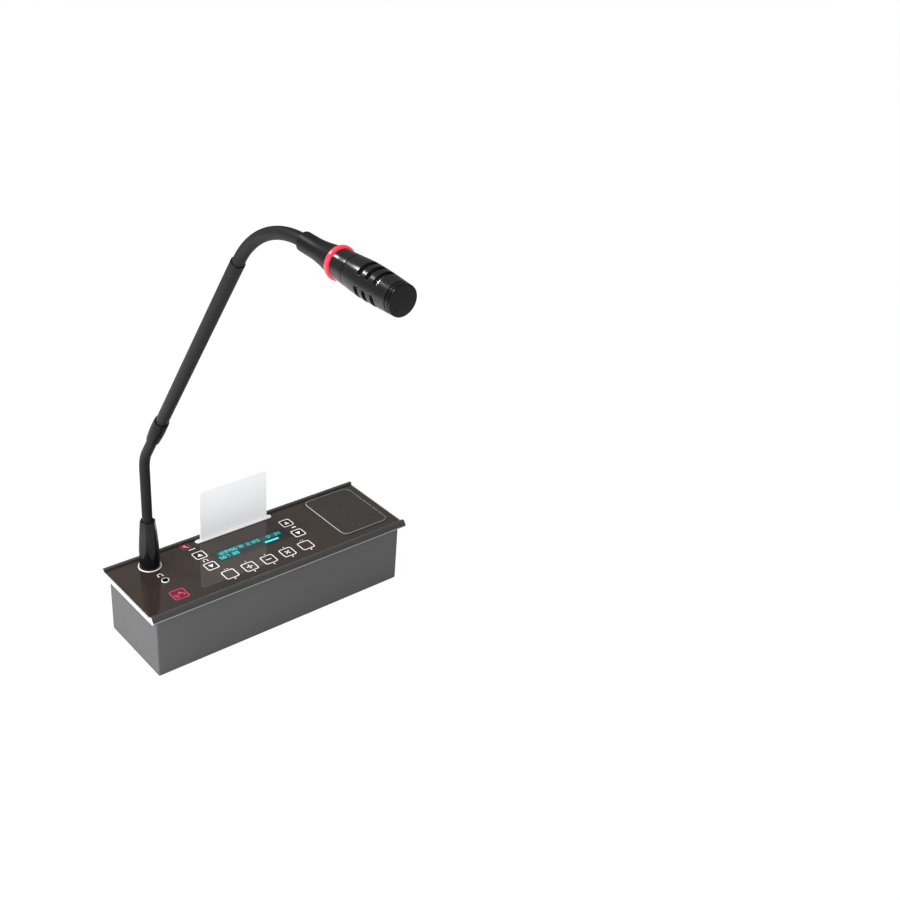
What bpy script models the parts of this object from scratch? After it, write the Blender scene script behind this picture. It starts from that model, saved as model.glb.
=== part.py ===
"""A conference delegate unit for mounting flush in a table top.

A sheet-steel box hangs under an extruded frame and a touch glass, with a card slot, a loudspeaker, a
headphone jack and a plug-in microphone on two goosenecks.

Metres, +Z up. The origin is the centre of the box's bottom face. +X runs along the unit to the loudspeaker
and -Y points to the person who speaks. Run it with blender --background --python part.py.
"""

import math

import bmesh
import bpy
from mathutils import Matrix, Vector

# Clearances that several pieces share
SEAT_GAP = 0.0003
CUT_OVERRUN = 0.002
SCREW_CLEARANCE = 0.0003

# Sides of round pieces: those that show, those inside, and small ones
FINE_SIDES = 24
INNER_SIDES = 16
SMALL_SIDES = 10
CORNER_STEPS = 4
SMOOTH_ANGLE = math.radians(35)

# Box: a folded and welded tray of sheet steel
BOX_LENGTH = 0.195
BOX_WIDTH = 0.063
SHEET_THICKNESS = 0.0012
BOX_EDGE_RADIUS = 0.0009
BOX_EDGE_STEPS = 2

# Top frame: an aluminium extrusion with a pocket for the glass, which reaches out over the box all round
PANEL_HEIGHT = 0.048
FRAME_END_OVERHANG = 0.0040
FRAME_SIDE_OVERHANG = 0.0037
FRAME_FLOOR = 0.0013
FRAME_RECESS = 0.0005
BEAD_INSET = 0.0044
BEAD_HEIGHT = 0.0016
BEAD_RADIUS = 0.0007
BEAD_TOP_WIDTH = 0.0021
LIP_DROP = 0.0016
LIP_EDGE = 0.0005
LIP_UNDERCUT = 0.0016
END_RIM = 0.0007
END_RIM_DROP = 0.0002

# Touch glass
GLASS_THICKNESS = 0.002
GLASS_CORNER = 0.0006

# Touch board, seen from above: a wide stretch under the keys and a narrow one that reaches the microphone key
BOARD_THICKNESS = 0.0016
TOUCH_SOCKET_MARGIN = 0.0113
TOUCH_SPEAKER_MARGIN = 0.0050
TOUCH_CARD_MARGIN = 0.0048
TOUCH_BEAD_MARGIN = 0.0023
MIC_KEY_REACH = 0.0087
MIC_KEY_JACK_MARGIN = 0.0080

# Display behind the glass
DISPLAY_X = -0.0043
DISPLAY_Y = 0.0040
DISPLAY_LENGTH = 0.066
DISPLAY_WIDTH = 0.018
DISPLAY_THICKNESS = 0.0016
BACKLIGHT_THICKNESS = 0.0022
HOLDER_SHEET = 0.0004
HOLDER_MARGIN = 0.0007

# Identity card of the standard ID-1 size, standing on its short edge
CARD_LENGTH = 0.0856
CARD_WIDTH = 0.05398
CARD_THICKNESS = 0.00076
CARD_CORNER = 0.00318
CARD_BACK_INSET = 0.0045
CARD_BOTTOM = 0.00245
CHIP_WIDTH = 0.0118
CHIP_HEIGHT = 0.0130
CHIP_POCKET_DEPTH = 0.0005
CHIP_THICKNESS = 0.0003
CHIP_CENTRE_UP = 0.0151
CHIP_CENTRE_ASIDE = 0.0031
CHIP_CORNER = 0.0020
CHIP_MARGIN = 0.0002

# Slot bezel and card reader
BEZEL_LENGTH = 0.0616
BEZEL_WIDTH = 0.0042
BEZEL_HEIGHT = 0.0008
BEZEL_NECK_LENGTH = 0.0592
BEZEL_NECK_WIDTH = 0.0026
BEZEL_SLOT_LENGTH = 0.0552
BEZEL_SLOT_WIDTH = 0.0015
READER_LENGTH = 0.062
READER_FRONT = 0.0034
READER_BACK = 0.0022
READER_SLOT_LENGTH = 0.0548
READER_SLOT_WIDTH = 0.0015
READER_WINDOW_WIDTH = 0.0168
READER_WINDOW_HEIGHT = 0.0168
CONTACT_COLUMNS = 4
CONTACT_ROWS = 2
CONTACT_WIDTH = 0.0009
CONTACT_PITCH = 0.0026
CONTACT_ROW_PITCH = 0.0072
CONTACT_LENGTH = 0.0056
CONTACT_ROOT = 0.0003
CONTACT_BOW = 0.0006

# Loudspeaker grille: a pressed cap of perforated sheet
GRILLE_END_INSET = 0.0225
GRILLE_FRONT_MARGIN = 0.00655
GRILLE_BACK_MARGIN = 0.00195
GRILLE_LENGTH = 0.0402
GRILLE_CORNER = 0.0056
GRILLE_SHEET = 0.0006
GRILLE_RISE = 0.0006
GRILLE_BEND = 0.0005
GRILLE_HOLE_RADIUS = 0.00145
GRILLE_HOLE_PITCH = 0.0040
GRILLE_HOLE_MARGIN = 0.0027

# Loudspeaker under the grille
SPEAKER_RADIUS = 0.0200
SPEAKER_OPENING_RADIUS = 0.0175
GASKET_THICKNESS = 0.0008
GASKET_WIDTH = 0.0026
BASKET_SHEET = 0.0008
BASKET_DEPTH = 0.0128
BASKET_RIM = 0.0027
BASKET_NECK_RADIUS = 0.0103
BASKET_WINDOW_LOW = 0.0030
BASKET_WINDOW_HIGH = 0.0092
BASKET_WINDOW_WIDTH = 0.0100
BASKET_WINDOWS = 4
CONE_RADIUS = 0.0136
CONE_SHEET = 0.0005
CONE_DEPTH = 0.0068
CONE_NECK_HEIGHT = 0.0020
CONE_DROP = 0.0008
CAP_RISE = 0.0018
SURROUND_ROLL = 0.0012
SURROUND_SHEET = 0.0004
SURROUND_STEPS = 6
COIL_RADIUS = 0.0063
COIL_WALL = 0.0003
COIL_LENGTH = 0.0080
COIL_RUNNING_GAP = 0.0006
TOP_PLATE_THICKNESS = 0.0020
TOP_PLATE_RADIUS = 0.0130
MAGNET_RADIUS = 0.0140
MAGNET_THICKNESS = 0.0055
YOKE_THICKNESS = 0.0020

# Microphone socket
SOCKET_END_INSET = 0.0242
SOCKET_BACK_INSET = 0.0108
SOCKET_RING_RADIUS = 0.0078
SOCKET_RING_BORE = 0.00695
SOCKET_RING_RISE = 0.0003
SOCKET_SHELL_RADIUS = 0.0066
SOCKET_BORE = 0.0053
SOCKET_BUS_GAP = 0.00765
SOCKET_NUT_FLATS = 0.016
SOCKET_NUT_THICKNESS = 0.0026
INSERT_THICKNESS = 0.0053
PIN_COUNT = 5
PIN_CIRCLE = 0.0028
PIN_RADIUS = 0.0006
PIN_CLEARANCE = 0.0003
PIN_LENGTH = 0.0073

# Microphone plug and base boot
PLUG_WALL = 0.0008
PLUG_BOOT_REACH = 0.0137
PLUG_DISC_LOW = 0.0030
PLUG_DISC_THICKNESS = 0.0040
BOOT_FOOT_RADIUS = 0.0066
BOOT_BELLY_RADIUS = 0.00675
BOOT_TOP_RADIUS = 0.0051
BOOT_HEIGHT = 0.0377
BOOT_BELLY_HEIGHT = 0.0150
BOOT_EDGE = 0.0005
BOOT_NECK_DEPTH = 0.0170
BOOT_FLATS = 6
BOOT_FLAT_TURN = math.radians(20)
BOOT_FLAT_START = 0.0105
BOOT_FLAT_TOP_SHARE = 0.93
BOOT_TAPER_POWER = 1.35
BOOT_STEPS = 8

# Headphone jack, on the unit's long middle line in front of the microphone socket
JACK_Y = 0.0
JACK_BORE_RADIUS = 0.0018
JACK_RING_RADIUS = 0.0026
JACK_RING_RISE = 0.0004
JACK_BODY_LENGTH = 0.0085
JACK_BODY_WIDTH = 0.0066
JACK_BODY_HEIGHT = 0.0130

# Goosenecks: links on ball ends, whose centres lie on the neck's line
NECK_RADIUS = 0.0034
NECK_SIDES = 12
NECK_BALL_STEPS = 3
NECK_RING_PITCH = 0.0042
NECK_SLEEVE_GAP = 0.00025
NECK_TAIL = 0.0110
LOWER_NECK_STRAIGHT = 0.0389
LOWER_NECK_BEND_RADIUS = 0.0250
STEM_TILT = math.radians(33.94)
LOWER_NECK_END = 0.0166
LOWER_NECK_FIRST = 0.0060
LOWER_NECK_LAST = 0.0060
UPPER_NECK_START = 0.0010
UPPER_NECK_BEND_RADIUS = 0.0652
HEAD_TILT = math.radians(92.5)
UPPER_NECK_END = 0.0005
UPPER_NECK_FIRST = 0.0080
UPPER_NECK_LAST = 0.0070
NECK_JOINTS = 4

# Collar and stem tube between the two goosenecks
COLLAR_LENGTH = 0.0228
COLLAR_FOOT_RADIUS = 0.0043
COLLAR_BELLY_RADIUS = 0.00485
COLLAR_RIM_RADIUS = 0.0046
COLLAR_BELLY_SHARE = 0.6
COLLAR_STEPS = 6
COLLAR_EDGE = 0.0006
COLLAR_NECK_DEPTH = 0.0120
STEM_WALL = 0.00027
STEM_FLARE = 0.0001
STEM_REACH = 0.1810

# Microphone head, measured along its own axis from the rear of its boot
HEAD_BOOT_LENGTH = 0.0267
HEAD_BOOT_REAR_RADIUS = 0.00505
HEAD_BOOT_WAIST_RADIUS = 0.0051
HEAD_BOOT_FRONT_RADIUS = 0.0075
HEAD_BOOT_FLARE_POWER = 1.6
HEAD_BOOT_WAIST_SHARE = 0.34
HEAD_BOOT_NECK_DEPTH = 0.0125
HEAD_BOOT_STEPS = 7
RING_LENGTH = 0.0024
RING_RADIUS = 0.00885
RING_BORE = 0.0060
RING_EDGE = 0.0006
SLEEVE_LENGTH = 0.0095
SLEEVE_RADIUS = 0.0076
SLEEVE_BORE = 0.0045
SLEEVE_STRAIGHT_SHARE = 0.42
HOUSING_LENGTH = 0.0310
HOUSING_REAR_RADIUS = 0.00805
HOUSING_BELLY_RADIUS = 0.0087
HOUSING_FRONT_RADIUS = 0.00795
HOUSING_BELLY_SHARE = 0.38
HOUSING_STEPS = 8
HOUSING_BORE = 0.0066
SLOT_ROWS = 3
SLOTS_ROUND = 3
SLOT_WIDTH = 0.0027
SLOT_PITCH = 0.0056
SLOT_FIRST = 0.0116
SLOT_SPAN = math.radians(83)
SLOT_TURN = math.radians(15.5)
SLOT_STEPS = 6
MESH_WALL = 0.0003
MESH_START = 0.0020
MESH_LENGTH = 0.0262
CAPSULE_LENGTH = 0.0100
CAPSULE_RADIUS = 0.0057
CAPSULE_START = 0.0150
CAP_SEAM = 0.0006
CAP_LENGTH = 0.0030
CAP_FRONT_RADIUS = 0.0078
CAP_GROOVE_START = 0.0017
CAP_GROOVE_WIDTH = 0.0004
CAP_GROOVE_DEPTH = 0.0004
CAP_EDGE = 0.0008
CAP_EDGE_STEPS = 3
CAP_SPIGOT_LENGTH = 0.0024
HEAD_SEAM = 0.0003

# Main board on the floor of the box
BOARD_EDGE_GAP = 0.0008
BOARD_NOTCH_MARGIN = 0.0015
BOARD_PARTS_INSET = 0.0105
STANDOFF_HEIGHT = 0.0024
STANDOFF_RADIUS = 0.0025
SOLDER_SINK = 0.0003
PROCESSOR_SIZE = 0.0140
PROCESSOR_HEIGHT = 0.0014
MEMORY_SIZE = 0.0090
MEMORY_HEIGHT = 0.0011
AMPLIFIER_SIZE = 0.0070
AMPLIFIER_HEIGHT = 0.0016
CAPACITOR_RADIUS = 0.0031
CAPACITOR_HEIGHT = 0.0070

# Network sockets in the rear wall
BUS_SOCKET_END_INSET = 0.0275
BUS_SOCKET_WIDTH = 0.0310
BUS_PORT_PITCH = 0.0150
BUS_SOCKET_HEIGHT = 0.0135
BUS_SOCKET_DEPTH = 0.0172
BUS_PORT_WIDTH = 0.0118
BUS_PORT_HEIGHT = 0.0068
BUS_PORT_DEPTH = 0.0125
BUS_PORT_LIFT = 0.0042
BUS_KEY_WIDTH = 0.0062
BUS_KEY_HEIGHT = 0.0014
BUS_LATCH_WIDTH = 0.0034
BUS_LATCH_HEIGHT = 0.0012

# Corner posts, and the base screws that clamp the box and the board to them
POST_END_INSET = 0.0050
POST_SIDE_INSET = 0.0040
POST_FLATS = 0.0050
BASE_SCREW_RADIUS = 0.0014
BASE_SCREW_HEAD_RADIUS = 0.0026
BASE_SCREW_LENGTH = 0.0125
BASE_SCREW_SINK = 0.0001

# Sizes and places worked out from those above
FRAME_LENGTH = BOX_LENGTH + 2 * FRAME_END_OVERHANG
FRAME_WIDTH = BOX_WIDTH + 2 * FRAME_SIDE_OVERHANG
BEAD_FACE_Y = FRAME_WIDTH / 2 - BEAD_INSET
FRAME_FLOOR_TOP = PANEL_HEIGHT - GLASS_THICKNESS - SEAT_GAP
FRAME_UNDERSIDE = FRAME_FLOOR_TOP - FRAME_FLOOR
FRAME_CEILING = FRAME_UNDERSIDE + FRAME_RECESS
BOX_TOP = FRAME_CEILING - SEAT_GAP
GLASS_LOW = PANEL_HEIGHT - GLASS_THICKNESS
GLASS_LENGTH = FRAME_LENGTH - 2 * (END_RIM + SEAT_GAP)
GLASS_WIDTH = 2 * (BEAD_FACE_Y - SEAT_GAP)
CARD_X = DISPLAY_X
CARD_Y = BOX_WIDTH / 2 - CARD_BACK_INSET
SOCKET_X = SOCKET_END_INSET - BOX_LENGTH / 2
SOCKET_Y = BOX_WIDTH / 2 - SOCKET_BACK_INSET
JACK_X = SOCKET_X
BUS_SOCKET_X = BUS_SOCKET_END_INSET - BOX_LENGTH / 2
GRILLE_WIDTH = GLASS_WIDTH - GRILLE_FRONT_MARGIN - GRILLE_BACK_MARGIN
GRILLE_X = BOX_LENGTH / 2 - GRILLE_END_INSET
GRILLE_Y = (GRILLE_FRONT_MARGIN - GRILLE_BACK_MARGIN) / 2
TOUCH_LEFT = SOCKET_X + TOUCH_SOCKET_MARGIN
TOUCH_RIGHT = GRILLE_X - SPEAKER_RADIUS - TOUCH_SPEAKER_MARGIN
TOUCH_BACK = CARD_Y - TOUCH_CARD_MARGIN
TOUCH_FRONT = TOUCH_BEAD_MARGIN - BEAD_FACE_Y
MIC_KEY_LEFT = SOCKET_X - MIC_KEY_REACH
MIC_KEY_BACK = JACK_Y - MIC_KEY_JACK_MARGIN
TOUCH_TOP = GLASS_LOW - SEAT_GAP
TOUCH_LOW = TOUCH_TOP - BOARD_THICKNESS
FLOOR_TOP = SHEET_THICKNESS + SEAT_GAP
BOARD_LOW = SHEET_THICKNESS + STANDOFF_HEIGHT + SEAT_GAP
BOARD_TOP = BOARD_LOW + BOARD_THICKNESS
BOARD_HALF_LENGTH = BOX_LENGTH / 2 - SHEET_THICKNESS - BOARD_EDGE_GAP
BOARD_HALF_WIDTH = BOX_WIDTH / 2 - SHEET_THICKNESS - BOARD_EDGE_GAP
POST_X = BOX_LENGTH / 2 - POST_END_INSET
POST_Y = BOX_WIDTH / 2 - POST_SIDE_INSET
BUS_SOCKET_LOW = BOARD_TOP + SEAT_GAP
BUS_SOCKET_REAR = BOX_WIDTH / 2 - SEAT_GAP
SOCKET_HOLE = SOCKET_SHELL_RADIUS + SEAT_GAP
SOCKET_TOP = FRAME_FLOOR_TOP + SEAT_GAP / 2
SOCKET_LOW = BUS_SOCKET_LOW + BUS_SOCKET_HEIGHT + SOCKET_BUS_GAP
BOOT_LOW = SOCKET_TOP + SEAT_GAP
BOOT_TOP = BOOT_LOW + BOOT_HEIGHT
PLUG_RADIUS = SOCKET_BORE - SEAT_GAP
PLUG_LOW = SOCKET_LOW + INSERT_THICKNESS + 2 * SEAT_GAP
PLUG_TOP = BOOT_LOW + PLUG_BOOT_REACH
PLUG_DISC_BOTTOM = PLUG_LOW + PLUG_DISC_LOW
NECK_BORE = NECK_RADIUS + NECK_SLEEVE_GAP
READER_Y_LOW = CARD_Y - READER_SLOT_WIDTH / 2 - READER_FRONT
READER_Y_HIGH = CARD_Y + READER_SLOT_WIDTH / 2 + READER_BACK
READER_TOP = FRAME_CEILING - 2 * SEAT_GAP
CARD_FACE_Y = CARD_Y - CARD_THICKNESS / 2
CONTACT_BLOCK_FACE = CARD_FACE_Y - SEAT_GAP - CONTACT_BOW
GASKET_TOP = FRAME_CEILING - SEAT_GAP
BASKET_TOP = GASKET_TOP - GASKET_THICKNESS - SEAT_GAP
BASKET_LOW = BASKET_TOP - BASKET_DEPTH
BASKET_NECK_HOLE = COIL_RADIUS + 2 * COIL_RUNNING_GAP
SURROUND_LOW = BASKET_TOP - CONE_DROP
CONE_EDGE = SURROUND_LOW + SEAT_GAP / 2
CONE_NECK_TOP = CONE_EDGE - CONE_DEPTH
TOP_PLATE_TOP = BASKET_LOW - SEAT_GAP
SCREW_HOLE_RADIUS = BASE_SCREW_RADIUS + SCREW_CLEARANCE
CARD_CHIP_X = CARD_X + CHIP_CENTRE_ASIDE
CARD_CHIP_Z = CARD_BOTTOM + CHIP_CENTRE_UP
HEAD_RING_START = HEAD_BOOT_LENGTH + HEAD_SEAM
HEAD_SLEEVE_START = HEAD_RING_START + RING_LENGTH + HEAD_SEAM
HEAD_HOUSING_START = HEAD_SLEEVE_START + SLEEVE_LENGTH + HEAD_SEAM
HEAD_CAP_START = HEAD_HOUSING_START + HOUSING_LENGTH + CAP_SEAM
MESH_RADIUS = HOUSING_BORE - SEAT_GAP


def clear_scene():
    """Removes whatever the file holds, so that the script starts from nothing."""
    for item in list(bpy.data.objects):
        bpy.data.objects.remove(item)


def paint(name, colour, roughness, metallic=0.0):
    """A material with one colour, roughness and metallic value."""
    material = bpy.data.materials.new(name)
    material.use_nodes = True
    shader = material.node_tree.nodes["Principled BSDF"]
    shader.inputs["Base Color"].default_value = (*colour, 1.0)
    shader.inputs["Roughness"].default_value = roughness
    shader.inputs["Metallic"].default_value = metallic
    return material


def rectangle(x, y, length, width):
    """Corners of a rectangle about a centre, anticlockwise."""
    half_length = length / 2
    half_width = width / 2
    return [
        (x - half_length, y - half_width),
        (x + half_length, y - half_width),
        (x + half_length, y + half_width),
        (x - half_length, y + half_width),
    ]


def circle(x, y, radius, sides, turn=0.0):
    """Points of a regular polygon on a circle, anticlockwise."""
    angles = [turn + 2 * math.pi * i / sides for i in range(sides)]
    return [(x + radius * math.cos(angle), y + radius * math.sin(angle)) for angle in angles]


def rounded_rectangle(x, y, length, width, radius, steps=CORNER_STEPS):
    """A rectangle with quarter circles for corners, anticlockwise. Corners that fill a side share a point."""
    points = []
    reach_x = length / 2 - radius
    reach_y = width / 2 - radius
    for quarter, (side_x, side_y) in enumerate(((1, 1), (-1, 1), (-1, -1), (1, -1))):
        across = reach_x if quarter % 2 else reach_y
        first = 0 if across or not points else 1
        for i in range(first, steps + 1):
            angle = math.pi / 2 * (quarter + i / steps)
            points.append(
                (
                    x + side_x * reach_x + radius * math.cos(angle),
                    y + side_y * reach_y + radius * math.sin(angle),
                )
            )
    return points if reach_y else points[:-1]


def join_loops(bm, first, second):
    """Bridges two closed loops of the same count with four-sided faces."""
    count = len(first)
    for i in range(count):
        j = (i + 1) % count
        bm.faces.new((first[i], first[j], second[j], second[i]))


def loop_edges(bm, loop):
    """The edges round a closed loop, made where a face hasn't made them yet."""
    edges = []
    for a, b in zip(loop, loop[1:] + loop[:1]):
        edges.append(bm.edges.get((a, b)) or bm.edges.new((a, b)))
    return edges


def add_prism(bm, outline, low, high, holes=(), place=Matrix.Identity(4)):
    """Adds a straight prism on an outline, with holes right through it. place turns it from its flat lie."""
    loops = [list(outline)] + [list(hole) for hole in holes]
    layers = []
    for height in (low, high):
        rings = [[bm.verts.new(place @ Vector((px, py, height))) for px, py in loop] for loop in loops]
        if holes:
            edges = []
            for ring in rings:
                edges += loop_edges(bm, ring)
            bmesh.ops.triangle_fill(bm, edges=edges, use_beauty=True)
        else:
            bm.faces.new(rings[0])
        layers.append(rings)
    for below, above in zip(*layers):
        join_loops(bm, below, above)


def add_ring(bm, radius, height, sides, place):
    """Adds a ring of points about the Z axis, or a single point where the radius is zero."""
    if radius == 0:
        return [bm.verts.new(place @ Vector((0, 0, height)))]
    return [bm.verts.new(place @ Vector((px, py, height))) for px, py in circle(0, 0, radius, sides)]


def join_rings(bm, first, second):
    """Bridges two rings, either of which may be a single point."""
    if len(first) > 1 and len(second) > 1:
        join_loops(bm, first, second)
        return
    point, ring = (first[0], second) if len(first) == 1 else (second[0], first)
    for a, b in zip(ring, ring[1:] + ring[:1]):
        bm.faces.new((a, b, point))


def add_turned(bm, profile, sides, place=Matrix.Identity(4)):
    """Adds a solid turned about the Z axis. A profile that starts on the axis also ends on it."""
    rings = [add_ring(bm, radius, height, sides, place) for radius, height in profile]
    pairs = list(zip(rings, rings[1:]))
    if len(rings[0]) > 1:
        pairs.append((rings[-1], rings[0]))
    for first, second in pairs:
        join_rings(bm, first, second)


def add_box(bm, x, y, z, length, width, height):
    """Adds a plain block about a centre in X and Y, standing on z."""
    add_prism(bm, rectangle(x, y, length, width), z, z + height)


def finish(name, bm, material=None, place=Matrix.Identity(4), smooth=False):
    """Turns the mesh into a named object with its faces outwards. place puts its origin in the world."""
    bmesh.ops.recalc_face_normals(bm, faces=bm.faces)
    mesh = bpy.data.meshes.new(name)
    bm.to_mesh(mesh)
    bm.free()
    if smooth:
        mesh.shade_smooth()
        mesh.set_sharp_from_angle(angle=SMOOTH_ANGLE)
    item = bpy.data.objects.new(name, mesh)
    item.matrix_world = place
    bpy.context.scene.collection.objects.link(item)
    if material is not None:
        mesh.materials.append(material)
    return item


def cut(target, bm, name, place=Matrix.Identity(4), operation="DIFFERENCE"):
    """Cuts a target with a hidden cutter that stands in the same place as the target."""
    cutter = finish(name, bm, place=place)
    cutter.hide_render = True
    cutter.display_type = "WIRE"
    boolean = target.modifiers.new(name, "BOOLEAN")
    boolean.object = cutter
    boolean.operation = operation
    boolean.solver = "EXACT"
    return cutter


def turned_piece(name, material, profile, sides=FINE_SIDES, place=Matrix.Identity(4)):
    """One turned solid as an object of its own."""
    bm = bmesh.new()
    add_turned(bm, profile, sides)
    return finish(name, bm, material, place, smooth=True)


def at(x, y, z=0.0):
    """A place in the world, unturned."""
    return Matrix.Translation((x, y, z))


def build_box(paint_grey):
    """The sheet-steel tray, with pressed-in standoffs, a window for the network sockets and sunk holes."""
    bm = bmesh.new()
    add_box(bm, 0, 0, 0, BOX_LENGTH, BOX_WIDTH, BOX_TOP)
    edges = [edge for edge in bm.edges if min(vertex.co.z for vertex in edge.verts) < SHEET_THICKNESS]
    bmesh.ops.bevel(
        bm, geom=edges, offset=BOX_EDGE_RADIUS, segments=BOX_EDGE_STEPS, profile=0.5, affect="EDGES"
    )
    box = finish("chassis_box", bm, paint_grey, smooth=True)

    cavity = bmesh.new()
    inner_length = BOX_LENGTH - 2 * SHEET_THICKNESS
    inner_width = BOX_WIDTH - 2 * SHEET_THICKNESS
    add_box(cavity, 0, 0, SHEET_THICKNESS, inner_length, inner_width, BOX_TOP)
    cut(box, cavity, "box_cavity")

    standoffs = bmesh.new()
    for x, y in post_places():
        outline = circle(x, y, STANDOFF_RADIUS, INNER_SIDES)
        add_prism(standoffs, outline, SHEET_THICKNESS / 2, SHEET_THICKNESS + STANDOFF_HEIGHT)
    cut(box, standoffs, "box_standoffs", operation="UNION")

    window = bmesh.new()
    add_box(
        window,
        BUS_SOCKET_X,
        BOX_WIDTH / 2,
        BUS_SOCKET_LOW - SEAT_GAP,
        BUS_SOCKET_WIDTH + 2 * SEAT_GAP,
        2 * SHEET_THICKNESS + CUT_OVERRUN,
        BUS_SOCKET_HEIGHT + 2 * SEAT_GAP,
    )
    cut(box, window, "box_window")

    holes = bmesh.new()
    sink = BASE_SCREW_HEAD_RADIUS + SCREW_CLEARANCE
    top = SHEET_THICKNESS + STANDOFF_HEIGHT + CUT_OVERRUN
    for x, y in post_places():
        add_turned(
            holes,
            [
                (0, -CUT_OVERRUN),
                (sink, -CUT_OVERRUN),
                (sink, BASE_SCREW_SINK),
                (SCREW_HOLE_RADIUS, SHEET_THICKNESS),
                (SCREW_HOLE_RADIUS, top),
                (0, top),
            ],
            SMALL_SIDES,
            at(x, y),
        )
    cut(box, holes, "box_screw_holes")


def frame_section():
    """The extrusion's section across the unit, solid up to the end rims, as (y, z) points."""
    lip_y = FRAME_WIDTH / 2
    bead_top = PANEL_HEIGHT + BEAD_HEIGHT
    lip_top = PANEL_HEIGHT - LIP_DROP
    half = [
        (lip_y - LIP_UNDERCUT, FRAME_UNDERSIDE),
        (lip_y, lip_top - LIP_EDGE),
        (lip_y, lip_top),
        (BEAD_FACE_Y + BEAD_TOP_WIDTH + BEAD_RADIUS / 2, bead_top - BEAD_RADIUS / 2),
        (BEAD_FACE_Y + BEAD_TOP_WIDTH, bead_top),
    ]
    for i in range(CORNER_STEPS):
        angle = math.pi / 2 * (1 + i / (CORNER_STEPS - 1))
        half.append(
            (
                BEAD_FACE_Y + BEAD_RADIUS + BEAD_RADIUS * math.cos(angle),
                bead_top - BEAD_RADIUS + BEAD_RADIUS * math.sin(angle),
            )
        )
    half.append((BEAD_FACE_Y, PANEL_HEIGHT - END_RIM_DROP))
    mirrored = [(-y, z) for y, z in reversed(half)]
    return half + mirrored


def touch_outline(margin):
    """The touch board's stepped outline, moved outwards by a margin."""
    return [
        (MIC_KEY_LEFT - margin, TOUCH_FRONT - margin),
        (TOUCH_RIGHT + margin, TOUCH_FRONT - margin),
        (TOUCH_RIGHT + margin, TOUCH_BACK + margin),
        (TOUCH_LEFT - margin, TOUCH_BACK + margin),
        (TOUCH_LEFT - margin, MIC_KEY_BACK + margin),
        (MIC_KEY_LEFT - margin, MIC_KEY_BACK + margin),
    ]


def build_frame(aluminium):
    """The extruded top frame, with its glass pocket, its recess for the box and the openings in its floor."""
    bm = bmesh.new()
    along_x = Matrix(((0, 0, 1, 0), (1, 0, 0, 0), (0, 1, 0, 0), (0, 0, 0, 1)))
    add_prism(bm, frame_section(), -FRAME_LENGTH / 2, FRAME_LENGTH / 2, place=along_x)
    frame = finish("top_frame", bm, aluminium, smooth=True)

    pocket = bmesh.new()
    height = BEAD_HEIGHT + CUT_OVERRUN + PANEL_HEIGHT - FRAME_FLOOR_TOP
    add_box(pocket, 0, 0, FRAME_FLOOR_TOP, FRAME_LENGTH - 2 * END_RIM, 2 * BEAD_FACE_Y, height)
    cut(frame, pocket, "frame_pocket")

    recess = bmesh.new()
    low = FRAME_UNDERSIDE - CUT_OVERRUN
    add_box(recess, 0, 0, low, BOX_LENGTH + 2 * SEAT_GAP, BOX_WIDTH + 2 * SEAT_GAP, FRAME_CEILING - low)
    cut(frame, recess, "frame_recess")

    openings = bmesh.new()
    high = FRAME_FLOOR_TOP + CUT_OVERRUN
    neck_length = BEZEL_NECK_LENGTH + 2 * SEAT_GAP
    neck_width = BEZEL_NECK_WIDTH + 2 * SEAT_GAP
    add_prism(openings, touch_outline(SEAT_GAP), low, high)
    add_prism(openings, circle(SOCKET_X, SOCKET_Y, SOCKET_HOLE, INNER_SIDES), low, high)
    add_prism(openings, circle(JACK_X, JACK_Y, JACK_RING_RADIUS + SEAT_GAP, SMALL_SIDES), low, high)
    add_prism(openings, circle(GRILLE_X, GRILLE_Y, SPEAKER_OPENING_RADIUS, FINE_SIDES), low, high)
    add_prism(openings, rounded_rectangle(CARD_X, CARD_Y, neck_length, neck_width, neck_width / 2), low, high)
    cut(frame, openings, "frame_openings")


def build_glass(glass):
    """The touch glass, with holes for the socket ring, the jack, the card slot and the grille."""
    bm = bmesh.new()
    neck_length = BEZEL_NECK_LENGTH + 2 * SEAT_GAP
    neck_width = BEZEL_NECK_WIDTH + 2 * SEAT_GAP
    grille_corner = GRILLE_CORNER + SEAT_GAP
    add_prism(
        bm,
        rounded_rectangle(0, 0, GLASS_LENGTH, GLASS_WIDTH, GLASS_CORNER, 2),
        GLASS_LOW,
        PANEL_HEIGHT,
        holes=(
            circle(SOCKET_X, SOCKET_Y, SOCKET_RING_RADIUS + SEAT_GAP, FINE_SIDES),
            circle(JACK_X, JACK_Y, JACK_RING_RADIUS + SEAT_GAP, SMALL_SIDES * 2),
            rounded_rectangle(CARD_X, CARD_Y, neck_length, neck_width, neck_width / 2),
            rounded_rectangle(
                GRILLE_X, GRILLE_Y, GRILLE_LENGTH + 2 * SEAT_GAP, GRILLE_WIDTH + 2 * SEAT_GAP, grille_corner
            ),
        ),
    )
    finish("touch_glass", bm, glass)


def build_touch_board(board_green):
    """The board of the touch fields, bonded under the glass and cut out round the display."""
    bm = bmesh.new()
    window = rectangle(DISPLAY_X, DISPLAY_Y, DISPLAY_LENGTH + 2 * SEAT_GAP, DISPLAY_WIDTH + 2 * SEAT_GAP)
    add_prism(bm, touch_outline(0), TOUCH_LOW, TOUCH_TOP, holes=(window,))
    finish("touch_board", bm, board_green)


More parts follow.
